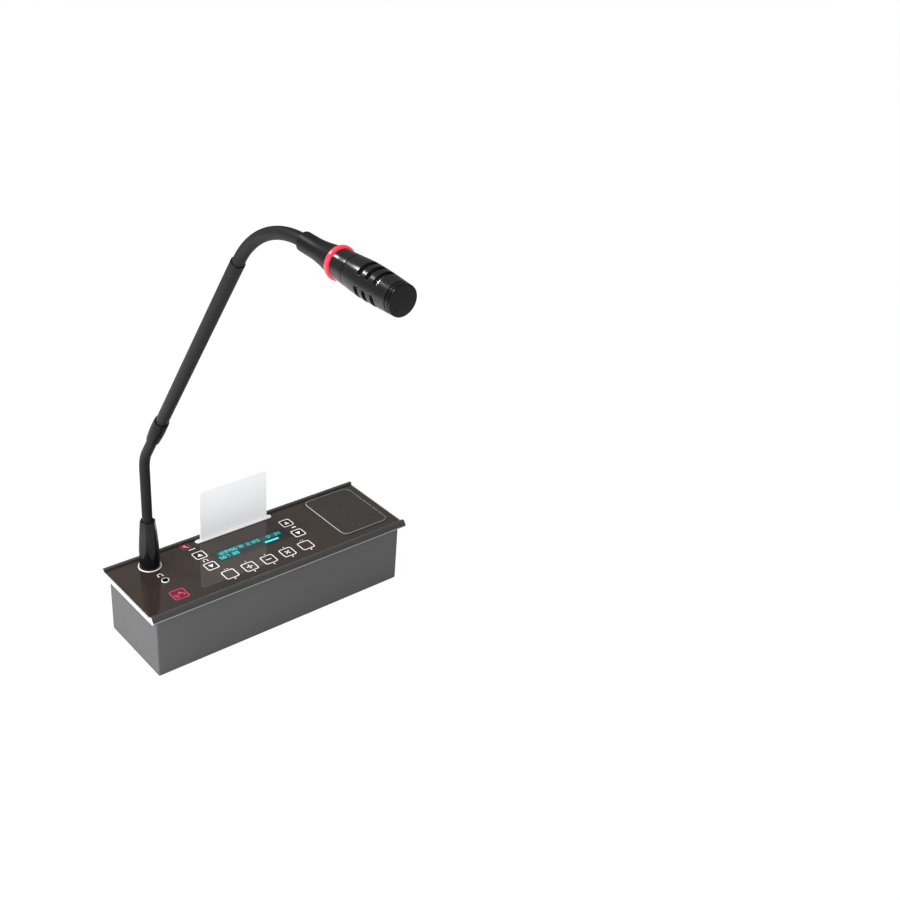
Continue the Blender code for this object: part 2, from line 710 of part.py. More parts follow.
def build_display(lcd_dark, light_white, steel):
    """The display panel in the board's window, its backlight below, and the folded holder round them."""
    panel_low = TOUCH_TOP - DISPLAY_THICKNESS
    bm = bmesh.new()
    add_box(bm, DISPLAY_X, DISPLAY_Y, panel_low, DISPLAY_LENGTH, DISPLAY_WIDTH, DISPLAY_THICKNESS)
    finish("display_panel", bm, lcd_dark)

    backlight_low = panel_low - SEAT_GAP - BACKLIGHT_THICKNESS
    bm = bmesh.new()
    add_box(bm, DISPLAY_X, DISPLAY_Y, backlight_low, DISPLAY_LENGTH, DISPLAY_WIDTH, BACKLIGHT_THICKNESS)
    finish("display_backlight", bm, light_white)

    holder_low = backlight_low - SEAT_GAP - HOLDER_SHEET
    outer_length = DISPLAY_LENGTH + 2 * HOLDER_MARGIN
    outer_width = DISPLAY_WIDTH + 2 * HOLDER_MARGIN
    bm = bmesh.new()
    height = TOUCH_LOW - SEAT_GAP - holder_low
    add_box(bm, DISPLAY_X, DISPLAY_Y, holder_low, outer_length, outer_width, height)
    holder = finish("display_holder", bm, steel)
    hollow = bmesh.new()
    add_box(
        hollow,
        DISPLAY_X,
        DISPLAY_Y,
        holder_low + HOLDER_SHEET,
        outer_length - 2 * HOLDER_SHEET,
        outer_width - 2 * HOLDER_SHEET,
        BACKLIGHT_THICKNESS + CUT_OVERRUN,
    )
    cut(holder, hollow, "holder_hollow")


def build_bezel(silver):
    """The rounded silver ring round the slot, with a neck down through the glass and the frame."""
    bm = bmesh.new()
    flange_low = PANEL_HEIGHT + SEAT_GAP
    flange_top = flange_low + BEZEL_HEIGHT
    add_prism(
        bm,
        rounded_rectangle(CARD_X, CARD_Y, BEZEL_LENGTH, BEZEL_WIDTH, BEZEL_WIDTH / 2),
        flange_low,
        flange_top,
    )
    middle = (flange_low + flange_top) / 2
    top_edges = [edge for edge in bm.edges if min(vertex.co.z for vertex in edge.verts) > middle]
    bmesh.ops.bevel(bm, geom=top_edges, offset=BEZEL_HEIGHT / 2, segments=2, profile=0.5, affect="EDGES")
    bezel = finish("slot_bezel", bm, silver, smooth=True)

    neck = bmesh.new()
    add_prism(
        neck,
        rounded_rectangle(CARD_X, CARD_Y, BEZEL_NECK_LENGTH, BEZEL_NECK_WIDTH, BEZEL_NECK_WIDTH / 2),
        FRAME_CEILING,
        flange_low + BEZEL_HEIGHT / 2,
    )
    cut(bezel, neck, "bezel_neck", operation="UNION")
    slot = bmesh.new()
    add_prism(
        slot,
        rectangle(CARD_X, CARD_Y, BEZEL_SLOT_LENGTH, BEZEL_SLOT_WIDTH),
        FRAME_CEILING - CUT_OVERRUN,
        flange_top + CUT_OVERRUN,
    )
    cut(bezel, slot, "bezel_slot")


def build_reader(black_plastic, white_plastic):
    """The card reader: a slotted housing that stands on the floor, and its block of eight bowed contacts."""
    bm = bmesh.new()
    middle = (READER_Y_LOW + READER_Y_HIGH) / 2
    depth = READER_Y_HIGH - READER_Y_LOW
    add_box(bm, CARD_X, middle, FLOOR_TOP, READER_LENGTH, depth, READER_TOP - FLOOR_TOP)
    housing = finish("reader_housing", bm, black_plastic)
    slot = bmesh.new()
    slot_low = CARD_BOTTOM - SEAT_GAP
    add_box(slot, CARD_X, CARD_Y, slot_low, READER_SLOT_LENGTH, READER_SLOT_WIDTH, READER_TOP)
    cut(housing, slot, "reader_slot")
    window = bmesh.new()
    window_y = CARD_Y - READER_SLOT_WIDTH / 2
    window_low = CARD_CHIP_Z - READER_WINDOW_HEIGHT / 2
    add_box(
        window,
        CARD_CHIP_X,
        window_y - READER_FRONT / 2,
        window_low,
        READER_WINDOW_WIDTH,
        READER_FRONT + READER_SLOT_WIDTH / 2,
        READER_WINDOW_HEIGHT,
    )
    cut(housing, window, "reader_window")

    bm = bmesh.new()
    add_box(
        bm,
        CARD_CHIP_X,
        (READER_Y_LOW + CONTACT_BLOCK_FACE) / 2,
        window_low + SEAT_GAP,
        READER_WINDOW_WIDTH - 2 * SEAT_GAP,
        CONTACT_BLOCK_FACE - READER_Y_LOW,
        READER_WINDOW_HEIGHT - 2 * SEAT_GAP,
    )
    block = finish("reader_contact_block", bm, white_plastic)
    contacts = bmesh.new()
    for column in range(CONTACT_COLUMNS):
        for row in range(CONTACT_ROWS):
            x = CARD_CHIP_X + (column - (CONTACT_COLUMNS - 1) / 2) * CONTACT_PITCH
            z = CARD_CHIP_Z + (row - (CONTACT_ROWS - 1) / 2) * CONTACT_ROW_PITCH
            add_contact(contacts, x, z)
    cut(block, contacts, "reader_contacts", operation="UNION")


def add_contact(bm, x, z):
    """Adds one contact: a bar that is rooted in the block and bows out of it towards the card."""
    outline = [(CONTACT_BLOCK_FACE - CONTACT_ROOT, z + side * CONTACT_LENGTH / 2) for side in (1, -1)]
    for i in range(CORNER_STEPS + 1):
        share = i / CORNER_STEPS
        bow = CONTACT_BOW * math.sin(math.pi * share)
        outline.append((CONTACT_BLOCK_FACE + bow, z + CONTACT_LENGTH * (share - 0.5)))
    along_x = Matrix(((0, 0, 1, x), (1, 0, 0, 0), (0, 1, 0, 0), (0, 0, 0, 1)))
    add_prism(bm, outline, -CONTACT_WIDTH / 2, CONTACT_WIDTH / 2, place=along_x)


def build_card(card_white, gold, card_body):
    """The identity card with a pocket for its chip, and the chip's contact plate in the pocket."""
    upright = Matrix(((1, 0, 0, 0), (0, 0, -1, 0), (0, 1, 0, 0), (0, 0, 0, 1)))
    middle_z = CARD_BOTTOM + CARD_LENGTH / 2
    bm = bmesh.new()
    add_prism(
        bm,
        rounded_rectangle(CARD_X, middle_z, CARD_WIDTH, CARD_LENGTH, CARD_CORNER),
        -CARD_Y - CARD_THICKNESS / 2,
        -CARD_Y + CARD_THICKNESS / 2,
        place=upright,
    )
    card = finish("id_card", bm, card_white)
    pocket = bmesh.new()
    face = -CARD_Y + CARD_THICKNESS / 2
    add_prism(
        pocket,
        rounded_rectangle(
            CARD_CHIP_X, CARD_CHIP_Z, CHIP_WIDTH + 2 * CHIP_MARGIN, CHIP_HEIGHT + 2 * CHIP_MARGIN, CHIP_CORNER
        ),
        face - CHIP_POCKET_DEPTH,
        face + CUT_OVERRUN,
        place=upright,
    )
    cutter = cut(card, pocket, "card_pocket")
    bm = bmesh.new()
    add_prism(
        bm,
        rounded_rectangle(CARD_CHIP_X, CARD_CHIP_Z, CHIP_WIDTH, CHIP_HEIGHT, CHIP_CORNER),
        face - CHIP_THICKNESS,
        face,
        place=upright,
    )
    chip = finish("card_chip", bm, gold)
    for item in (card, cutter, chip):
        attach(item, card_body)


def grille_holes():
    """Centres of the grille's holes: staggered rows, as many as fit inside the margin."""
    places = []
    row_pitch = GRILLE_HOLE_PITCH * math.sqrt(3) / 2
    reach_x = GRILLE_LENGTH / 2 - GRILLE_HOLE_MARGIN
    reach_y = GRILLE_WIDTH / 2 - GRILLE_HOLE_MARGIN
    corner = GRILLE_CORNER - GRILLE_HOLE_MARGIN + GRILLE_HOLE_RADIUS
    rows = int(reach_y / row_pitch)
    columns = int(reach_x / GRILLE_HOLE_PITCH) + 1
    for row in range(-rows, rows + 1):
        shift = GRILLE_HOLE_PITCH / 2 if row % 2 else 0
        for column in range(-columns, columns + 1):
            x = column * GRILLE_HOLE_PITCH + shift
            y = row * row_pitch
            past_x = max(abs(x) - (reach_x - corner), 0)
            past_y = max(abs(y) - (reach_y - corner), 0)
            if math.hypot(past_x, past_y) <= corner:
                places.append((GRILLE_X + x, GRILLE_Y + y))
    return places


def build_grille(black_metal):
    """The perforated grille: a flat top whose edges are bent down into a skirt that stands on the frame."""
    top = PANEL_HEIGHT + GRILLE_RISE + SEAT_GAP
    low = FRAME_FLOOR_TOP + SEAT_GAP
    bm = bmesh.new()

    def ring(inset, height):
        outline = rounded_rectangle(
            GRILLE_X, GRILLE_Y, GRILLE_LENGTH - 2 * inset, GRILLE_WIDTH - 2 * inset, GRILLE_CORNER - inset
        )
        return [bm.verts.new((x, y, height)) for x, y in outline]

    skin = [
        ring(GRILLE_BEND, top),
        ring(GRILLE_BEND * (1 - math.sqrt(0.5)), top - GRILLE_BEND * (1 - math.sqrt(0.5))),
        ring(0, top - GRILLE_BEND),
        ring(0, low),
        ring(GRILLE_SHEET, low),
        ring(GRILLE_SHEET, top - GRILLE_SHEET),
    ]
    for first, second in zip(skin, skin[1:]):
        join_loops(bm, first, second)
    over = loop_edges(bm, skin[0])
    under = loop_edges(bm, skin[-1])
    for x, y in grille_holes():
        hexagon = circle(x, y, GRILLE_HOLE_RADIUS, 6, math.pi / 6)
        upper = [bm.verts.new((px, py, top)) for px, py in hexagon]
        lower = [bm.verts.new((px, py, top - GRILLE_SHEET)) for px, py in hexagon]
        join_loops(bm, upper, lower)
        over += loop_edges(bm, upper)
        under += loop_edges(bm, lower)
    bmesh.ops.triangle_fill(bm, edges=over, use_beauty=True)
    bmesh.ops.triangle_fill(bm, edges=under, use_beauty=True)
    finish("speaker_grille", bm, black_metal, smooth=True)


def build_basket(foam, steel):
    """The loudspeaker's gasket, and the pressed basket that it bonds to the frame."""
    place = at(GRILLE_X, GRILLE_Y)
    turned_piece(
        "speaker_gasket",
        foam,
        [
            (SPEAKER_RADIUS, GASKET_TOP),
            (SPEAKER_RADIUS, GASKET_TOP - GASKET_THICKNESS),
            (SPEAKER_RADIUS - GASKET_WIDTH, GASKET_TOP - GASKET_THICKNESS),
            (SPEAKER_RADIUS - GASKET_WIDTH, GASKET_TOP),
        ],
        INNER_SIDES,
        place,
    )
    rim = SPEAKER_RADIUS - BASKET_RIM
    basket = turned_piece(
        "speaker_basket",
        steel,
        [
            (SPEAKER_RADIUS, BASKET_TOP),
            (SPEAKER_RADIUS, BASKET_TOP - BASKET_SHEET),
            (rim + BASKET_SHEET, BASKET_TOP - BASKET_SHEET),
            (BASKET_NECK_RADIUS, BASKET_LOW),
            (BASKET_NECK_HOLE, BASKET_LOW),
            (BASKET_NECK_HOLE, BASKET_LOW + BASKET_SHEET),
            (BASKET_NECK_RADIUS - BASKET_SHEET / 2, BASKET_LOW + BASKET_SHEET),
            (rim, BASKET_TOP),
        ],
        INNER_SIDES,
        place,
    )
    windows = bmesh.new()
    outline = rectangle(SPEAKER_RADIUS, 0, SPEAKER_RADIUS, BASKET_WINDOW_WIDTH)
    window_low = BASKET_LOW + BASKET_WINDOW_LOW
    window_high = BASKET_LOW + BASKET_WINDOW_HIGH
    for i in range(BASKET_WINDOWS):
        turn = Matrix.Rotation(2 * math.pi * i / BASKET_WINDOWS, 4, "Z")
        add_prism(windows, outline, window_low, window_high, place=turn)
    cut(basket, windows, "basket_windows", place)


def build_surround(rubber):
    """The rubber surround: a half roll of even thickness round the cone."""
    roll_x = CONE_RADIUS + SEAT_GAP + SURROUND_ROLL
    roll = []
    steps = range(SURROUND_STEPS + 1)
    for radius, order in ((SURROUND_ROLL, steps), (SURROUND_ROLL - SURROUND_SHEET, reversed(steps))):
        for i in order:
            angle = math.pi * i / SURROUND_STEPS
            roll.append((roll_x + radius * math.cos(angle), SURROUND_LOW + radius * math.sin(angle)))
    turned_piece("speaker_surround", rubber, roll, INNER_SIDES, at(GRILLE_X, GRILLE_Y))


def build_cone(paper, copper, cone_body):
    """What the loudspeaker moves: the cone with its dust cap and its neck, and the voice coil on the neck."""
    place = at(GRILLE_X, GRILLE_Y)
    neck_bore = COIL_RADIUS + SEAT_GAP
    neck_outer = neck_bore + CONE_SHEET
    cone = turned_piece(
        "speaker_cone",
        paper,
        [
            (0, CONE_NECK_TOP + CAP_RISE + CONE_SHEET),
            (neck_outer / 2, CONE_NECK_TOP + CAP_RISE),
            (neck_outer, CONE_NECK_TOP + CONE_SHEET),
            (CONE_RADIUS, CONE_EDGE),
            (CONE_RADIUS, CONE_EDGE - CONE_SHEET),
            (neck_outer, CONE_NECK_TOP - CONE_SHEET),
            (neck_outer, CONE_NECK_TOP - CONE_NECK_HEIGHT),
            (neck_bore, CONE_NECK_TOP - CONE_NECK_HEIGHT),
            (neck_bore, CONE_NECK_TOP - CONE_SHEET),
            (neck_outer / 2, CONE_NECK_TOP + CAP_RISE - 2 * CONE_SHEET),
            (0, CONE_NECK_TOP + CAP_RISE - CONE_SHEET),
        ],
        INNER_SIDES,
        place,
    )
    coil_top = CONE_NECK_TOP - CONE_SHEET - SEAT_GAP
    coil = turned_piece(
        "voice_coil",
        copper,
        [
            (COIL_RADIUS, coil_top),
            (COIL_RADIUS, coil_top - COIL_LENGTH),
            (COIL_RADIUS - COIL_WALL, coil_top - COIL_LENGTH),
            (COIL_RADIUS - COIL_WALL, coil_top),
        ],
        INNER_SIDES,
        place,
    )
    for item in (cone, coil):
        attach(item, cone_body)


def build_motor(steel, ferrite):
    """The loudspeaker's motor: the top plate, the ring magnet, and the yoke with its pole in the coil."""
    place = at(GRILLE_X, GRILLE_Y)
    plate_low = TOP_PLATE_TOP - TOP_PLATE_THICKNESS
    plate_bore = COIL_RADIUS + COIL_RUNNING_GAP
    turned_piece(
        "speaker_top_plate",
        steel,
        [
            (TOP_PLATE_RADIUS, TOP_PLATE_TOP),
            (TOP_PLATE_RADIUS, plate_low),
            (plate_bore, plate_low),
            (plate_bore, TOP_PLATE_TOP),
        ],
        INNER_SIDES,
        place,
    )
    magnet_top = plate_low - SEAT_GAP
    magnet_low = magnet_top - MAGNET_THICKNESS
    turned_piece(
        "speaker_magnet",
        ferrite,
        [
            (MAGNET_RADIUS, magnet_top),
            (MAGNET_RADIUS, magnet_low),
            (BASKET_NECK_HOLE, magnet_low),
            (BASKET_NECK_HOLE, magnet_top),
        ],
        INNER_SIDES,
        place,
    )
    yoke_top = magnet_low - SEAT_GAP
    pole_radius = COIL_RADIUS - COIL_WALL - COIL_RUNNING_GAP
    turned_piece(
        "speaker_yoke",
        steel,
        [
            (0, yoke_top - YOKE_THICKNESS),
            (TOP_PLATE_RADIUS, yoke_top - YOKE_THICKNESS),
            (TOP_PLATE_RADIUS, yoke_top),
            (pole_radius, yoke_top),
            (pole_radius, TOP_PLATE_TOP),
            (0, TOP_PLATE_TOP),
        ],
        INNER_SIDES,
        place,
    )


def pin_places():
    """Centres of the microphone plug's pins, on a circle about the socket."""
    return circle(0, 0, PIN_CIRCLE, PIN_COUNT, math.pi / 2)


def build_socket(silver, steel, black_plastic):
    """The microphone socket: the ring in the glass, the shell through the frame, its nut and its insert."""
    place = at(SOCKET_X, SOCKET_Y)
    ring_top = PANEL_HEIGHT + SOCKET_RING_RISE
    turned_piece(
        "mic_socket_ring",
        silver,
        [
            (SOCKET_RING_RADIUS, GLASS_LOW),
            (SOCKET_RING_RADIUS, ring_top - SOCKET_RING_RISE),
            (SOCKET_RING_RADIUS - SOCKET_RING_RISE, ring_top),
            (SOCKET_RING_BORE, ring_top),
            (SOCKET_RING_BORE, GLASS_LOW),
        ],
        FINE_SIDES,
        place,
    )
    turned_piece(
        "mic_socket_shell",
        steel,
        [
            (SOCKET_SHELL_RADIUS, SOCKET_TOP),
            (SOCKET_SHELL_RADIUS, SOCKET_LOW),
            (SOCKET_BORE, SOCKET_LOW),
            (SOCKET_BORE, SOCKET_TOP),
        ],
        INNER_SIDES,
        place,
    )
    bm = bmesh.new()
    nut_top = FRAME_CEILING - SEAT_GAP
    corner = SOCKET_NUT_FLATS / math.sqrt(3)
    add_prism(
        bm,
        circle(SOCKET_X, SOCKET_Y, corner, 6),
        nut_top - SOCKET_NUT_THICKNESS,
        nut_top,
        holes=(circle(SOCKET_X, SOCKET_Y, SOCKET_HOLE, INNER_SIDES),),
    )
    finish("mic_socket_nut", bm, steel)
    bm = bmesh.new()
    insert_radius = SOCKET_BORE - SEAT_GAP
    add_prism(
        bm,
        circle(0, 0, insert_radius, INNER_SIDES),
        SOCKET_LOW,
        SOCKET_LOW + INSERT_THICKNESS,
        holes=[circle(x, y, PIN_RADIUS + PIN_CLEARANCE, SMALL_SIDES) for x, y in pin_places()],
    )
    finish("mic_socket_insert", bm, black_plastic, place)


def barrel_radius(share, foot, belly, rim, belly_share):
    """The radius of a barrel at a share of its length: foot to belly, then easing back to the rim."""
    if share <= belly_share:
        return foot + (belly - foot) * math.sin(math.pi / 2 * share / belly_share)
    run = (share - belly_share) / (1 - belly_share)
    return rim + (belly - rim) * math.cos(math.pi / 2 * run)


def boot_radius(share):
    """The base boot's radius at a share of its height: a slight belly, then a taper that steepens."""
    belly_share = BOOT_BELLY_HEIGHT / BOOT_HEIGHT
    if share <= belly_share:
        swell = math.sin(math.pi / 2 * share / belly_share)
        return BOOT_FOOT_RADIUS + (BOOT_BELLY_RADIUS - BOOT_FOOT_RADIUS) * swell
    run = (share - belly_share) / (1 - belly_share)
    return BOOT_BELLY_RADIUS - (BOOT_BELLY_RADIUS - BOOT_TOP_RADIUS) * run**BOOT_TAPER_POWER


def build_plug(silver, gold, mic_body):
    """The microphone's plug: its shell, and the carrier with its moulded-in pins."""
    place = at(SOCKET_X, SOCKET_Y)
    inner = PLUG_RADIUS - PLUG_WALL
    disc_top = PLUG_DISC_BOTTOM + PLUG_DISC_THICKNESS
    disc_radius = inner - SEAT_GAP
    shell = turned_piece(
        "plug_shell",
        silver,
        [
            (inner, PLUG_LOW),
            (PLUG_RADIUS, PLUG_LOW),
            (PLUG_RADIUS, PLUG_TOP),
            (inner, PLUG_TOP),
        ],
        INNER_SIDES,
        place,
    )
    carrier = turned_piece(
        "plug_pins",
        gold,
        [(0, PLUG_DISC_BOTTOM), (disc_radius, PLUG_DISC_BOTTOM), (disc_radius, disc_top), (0, disc_top)],
        INNER_SIDES,
        place,
    )
    pins = bmesh.new()
    tip = PLUG_DISC_BOTTOM - PIN_LENGTH
    root = PLUG_DISC_BOTTOM + PLUG_DISC_THICKNESS / 2
    shoulder = tip + PIN_RADIUS
    profile = [(0, tip), (PIN_RADIUS / 2, tip), (PIN_RADIUS, shoulder), (PIN_RADIUS, root), (0, root)]
    for x, y in pin_places():
        add_turned(pins, profile, SMALL_SIDES, at(x, y))
    joined_pins = cut(carrier, pins, "pins_on_carrier", place, "UNION")
    for item in (shell, carrier, joined_pins):
        attach(item, mic_body)


def build_base_boot(black_soft, mic_body):
    """The boot at the microphone's foot: a turned body, cut back to six flats that lean in to its top."""
    place = at(SOCKET_X, SOCKET_Y)
    neck_bottom = BOOT_TOP - BOOT_NECK_DEPTH
    bore = PLUG_RADIUS + SEAT_GAP
    outside = [(boot_radius(0) - BOOT_EDGE, BOOT_LOW)]
    for i in range(BOOT_STEPS + 1):
        share = i / BOOT_STEPS
        height = BOOT_LOW + BOOT_EDGE + (BOOT_HEIGHT - 2 * BOOT_EDGE) * share
        outside.append((boot_radius(share), height))
    outside.append((BOOT_TOP_RADIUS - BOOT_EDGE, BOOT_TOP))
    inside = [
        (NECK_BORE, BOOT_TOP),
        (NECK_BORE, neck_bottom),
        (bore, PLUG_TOP + SEAT_GAP),
        (bore, BOOT_LOW),
    ]
    boot = turned_piece("base_boot", black_soft, outside + inside, FINE_SIDES, place)

    flats = bmesh.new()
    top_flat = BOOT_TOP_RADIUS * BOOT_FLAT_TOP_SHARE
    taper = (BOOT_BELLY_RADIUS - top_flat) / (BOOT_HEIGHT - BOOT_FLAT_START)
    corner_scale = 1 / math.cos(math.pi / BOOT_FLATS)
    rings = []
    for height in (BOOT_LOW - CUT_OVERRUN, BOOT_TOP + CUT_OVERRUN):
        flat = BOOT_BELLY_RADIUS - taper * (height - BOOT_LOW - BOOT_FLAT_START)
        outline = circle(0, 0, flat * corner_scale, BOOT_FLATS, BOOT_FLAT_TURN + math.pi / BOOT_FLATS)
        rings.append([flats.verts.new((x, y, height)) for x, y in outline])
    join_loops(flats, rings[0], rings[1])
    flats.faces.new(rings[0])
    flats.faces.new(rings[1])
    cutter = cut(boot, flats, "boot_flats", place, "INTERSECT")
    for item in (boot, cutter):
        attach(item, mic_body)


def build_jack(silver, black_plastic):
    """The headphone jack: a bushing through the glass and the frame, and its body below."""
    bm = bmesh.new()
    bushing_low = FRAME_CEILING
    bore = circle(JACK_X, JACK_Y, JACK_BORE_RADIUS, SMALL_SIDES * 2)
    ring = circle(JACK_X, JACK_Y, JACK_RING_RADIUS, SMALL_SIDES * 2)
    add_prism(bm, ring, bushing_low, PANEL_HEIGHT + JACK_RING_RISE, holes=(bore,))
    finish("jack_bushing", bm, silver, smooth=True)
    bm = bmesh.new()
    body_top = bushing_low - SEAT_GAP
    add_prism(
        bm,
        rectangle(JACK_X, JACK_Y, JACK_BODY_WIDTH, JACK_BODY_LENGTH),
        body_top - JACK_BODY_HEIGHT,
        body_top,
        holes=(bore,),
    )
    finish("jack_body", bm, black_plastic)


def neck_line(start, tilt, runs):
    """Joins straight and curved runs in the plane across the unit and returns (length, place) of the line.

    Each run is (length, radius), with no radius for a straight one. A place is (y, z, tilt from upright), and
    a curved run tilts forwards.
    """
    total = sum(length for length, radius in runs)

    def place(distance):
        y, z = start
        angle = tilt
        left = distance
        for index, (length, radius) in enumerate(runs):
            last = index == len(runs) - 1
            step = left if last else min(left, length)
            if radius is None:
                y -= step * math.sin(angle)
                z += step * math.cos(angle)
            else:
                turned = angle + step / radius
                y -= radius * (math.cos(angle) - math.cos(turned))
                z += radius * (math.sin(turned) - math.sin(angle))
                angle = turned
            left -= step
            if left <= 0 and not last:
                break
        return y, z, angle

    return total, place


def lower_neck_line():
    """The lower gooseneck's line from the top of the base boot to the foot of the collar."""
    runs = [
        (LOWER_NECK_STRAIGHT, None),
        (LOWER_NECK_BEND_RADIUS * STEM_TILT, LOWER_NECK_BEND_RADIUS),
        (LOWER_NECK_END, None),
    ]
    return neck_line((SOCKET_Y, BOOT_TOP), 0.0, runs)


def stem_foot():
    """The place (y, z) of the collar's foot, where the lower gooseneck enters it."""
    length, place = lower_neck_line()
    y, z, tilt = place(length)
    return y, z


def stem_top():
    """The place (y, z) of the stem tube's upper end."""
    y, z = stem_foot()
    return y - STEM_REACH * math.sin(STEM_TILT), z + STEM_REACH * math.cos(STEM_TILT)


def upper_neck_line():
    """The upper gooseneck's line from the top of the stem to the rear of the head."""
    runs = [
        (UPPER_NECK_START, None),
        (UPPER_NECK_BEND_RADIUS * (HEAD_TILT - STEM_TILT), UPPER_NECK_BEND_RADIUS),
        (UPPER_NECK_END, None),
    ]
    return neck_line(stem_top(), STEM_TILT, runs)


def head_rear():
    """The place (y, z) of the rear of the head's boot."""
    length, place = upper_neck_line()
    y, z, tilt = place(length)
    return y, z


def hinge_distances(length, first, last):
    """Distances of a neck's joints along its line, evenly spaced between the first and the last."""
    span = length - first - last
    return [first + span * i / (NECK_JOINTS - 1) for i in range(NECK_JOINTS)]


def along_stem():
    """The collar's and the stem's own frame: origin at the collar's foot, +Z up along the stem."""
    y, z = stem_foot()
    return Matrix.Translation((SOCKET_X, y, z)) @ Matrix.Rotation(STEM_TILT, 4, "X")


def along_head():
    """The head's own frame: origin at the rear of its boot, +Z forwards along the head."""
    y, z = head_rear()
    return Matrix.Translation((SOCKET_X, y, z)) @ Matrix.Rotation(HEAD_TILT, 4, "X")


def neck_rings(place, start, end):
    """Places along a neck's line from start to end, no further apart than the ring pitch."""
    count = max(1, math.ceil((end - start) / NECK_RING_PITCH))
    return [place(start + (end - start) * i / count) for i in range(count + 1)]


def neck_piece(name, material, place, start, end, cupped, balled):
    """One length of a gooseneck: a round rod along the line. Its foot is hollowed to a cup, where it sits on
    the ball below, and its head is rounded to a ball, where the next length sits on it."""
    cup_radius = NECK_RADIUS + SEAT_GAP
    cup_rise = math.sqrt(cup_radius**2 - NECK_RADIUS**2)
    stations = []
    if cupped:
        foot = place(start)
        rim_angle = math.asin(cup_rise / cup_radius)
        for i in range(NECK_BALL_STEPS + 1):
            angle = math.pi / 2 + (rim_angle - math.pi / 2) * i / NECK_BALL_STEPS
            stations.append((foot, cup_radius * math.sin(angle), cup_radius * math.cos(angle)))
    else:
        stations.append((place(start), 0.0, 0.0))
    body_start = start + cup_rise if cupped else start
    body = [(spot, 0.0, NECK_RADIUS) for spot in neck_rings(place, body_start, end)]
    stations += body[1:] if cupped else body
    if balled:
        head = place(end)
        for i in range(1, NECK_BALL_STEPS + 1):
            angle = math.pi / 2 * i / NECK_BALL_STEPS
            stations.append((head, NECK_RADIUS * math.sin(angle), NECK_RADIUS * math.cos(angle)))
    else:
        stations.append((place(end), 0.0, 0.0))

    bm = bmesh.new()
    rings = []
    last = len(stations) - 1
    for index, ((y, z, tilt), rise, radius) in enumerate(stations):
        frame = Matrix.Translation((SOCKET_X, y, z)) @ Matrix.Rotation(tilt, 4, "X")
        rings.append(add_ring(bm, 0 if index in (0, last) else radius, rise, NECK_SIDES, frame))
    for first, second in zip(rings, rings[1:]):
        join_rings(bm, first, second)
    return finish(name, bm, material, smooth=True)


def build_neck(name, material, line, first, last, parent):
    """One gooseneck of five lengths on four joints. Returns the pivot that carries what follows it."""
    length, place = line
    distances = hinge_distances(length, first, last)
    root = neck_piece(name + "_root", material, place, -NECK_TAIL, distances[0], False, True)
    attach(root, parent)
    pivot = parent
    for index, distance in enumerate(distances):
        y, z, tilt = place(distance)
        pivot = add_pivot("{}_pivot_{}".format(name, index + 1), (SOCKET_X, y, z), pivot)
        if index < NECK_JOINTS - 1:
            title = "{}_link_{}".format(name, index + 1)
            link = neck_piece(title, material, place, distance, distances[index + 1], True, True)
            attach(link, pivot)
        else:
            tip = neck_piece(name + "_tip", material, place, distance, length + NECK_TAIL, True, False)
            attach(tip, pivot)
    return pivot


def build_stem(black_soft, black_metal, stem_body):
    """The barrel collar on the lower gooseneck and the straight tube that it carries."""
    frame = along_stem()
    stem_low = COLLAR_NECK_DEPTH + SEAT_GAP
    stem_foot_radius = NECK_BORE + STEM_WALL
    collar_bore = stem_foot_radius + SEAT_GAP
    profile = [(COLLAR_FOOT_RADIUS - COLLAR_EDGE, 0)]
    for i in range(COLLAR_STEPS + 1):
        share = i / COLLAR_STEPS
        radius = barrel_radius(
            share, COLLAR_FOOT_RADIUS, COLLAR_BELLY_RADIUS, COLLAR_RIM_RADIUS, COLLAR_BELLY_SHARE
        )
        profile.append((radius, COLLAR_EDGE + (COLLAR_LENGTH - COLLAR_EDGE) * share))
    profile += [
        (collar_bore, COLLAR_LENGTH),
        (collar_bore, COLLAR_NECK_DEPTH),
        (NECK_BORE, COLLAR_NECK_DEPTH),
        (NECK_BORE, 0),
    ]
    collar = turned_piece("stem_collar", black_soft, profile, FINE_SIDES, frame)
    tube = turned_piece(
        "stem_tube",
        black_metal,
        [
            (stem_foot_radius, stem_low),
            (stem_foot_radius + STEM_FLARE, STEM_REACH),
            (NECK_BORE, STEM_REACH),
            (NECK_BORE, stem_low),
        ],
        FINE_SIDES,
        frame,
    )
    for item in (collar, tube):
        attach(item, stem_body)


def head_boot_profile():
    """The head boot's outside: a rounded rear edge, a slow waist, then a flare to the light ring."""
    points = [(HEAD_BOOT_REAR_RADIUS - BOOT_EDGE, 0)]
    waist = HEAD_BOOT_LENGTH * HEAD_BOOT_WAIST_SHARE
    points.append((HEAD_BOOT_REAR_RADIUS, BOOT_EDGE))
    points.append((HEAD_BOOT_WAIST_RADIUS, waist))
    for i in range(1, HEAD_BOOT_STEPS + 1):
        share = i / HEAD_BOOT_STEPS
        flare = share**HEAD_BOOT_FLARE_POWER
        radius = HEAD_BOOT_WAIST_RADIUS + (HEAD_BOOT_FRONT_RADIUS - HEAD_BOOT_WAIST_RADIUS) * flare
        points.append((radius, waist + (HEAD_BOOT_LENGTH - waist) * share))
    return points


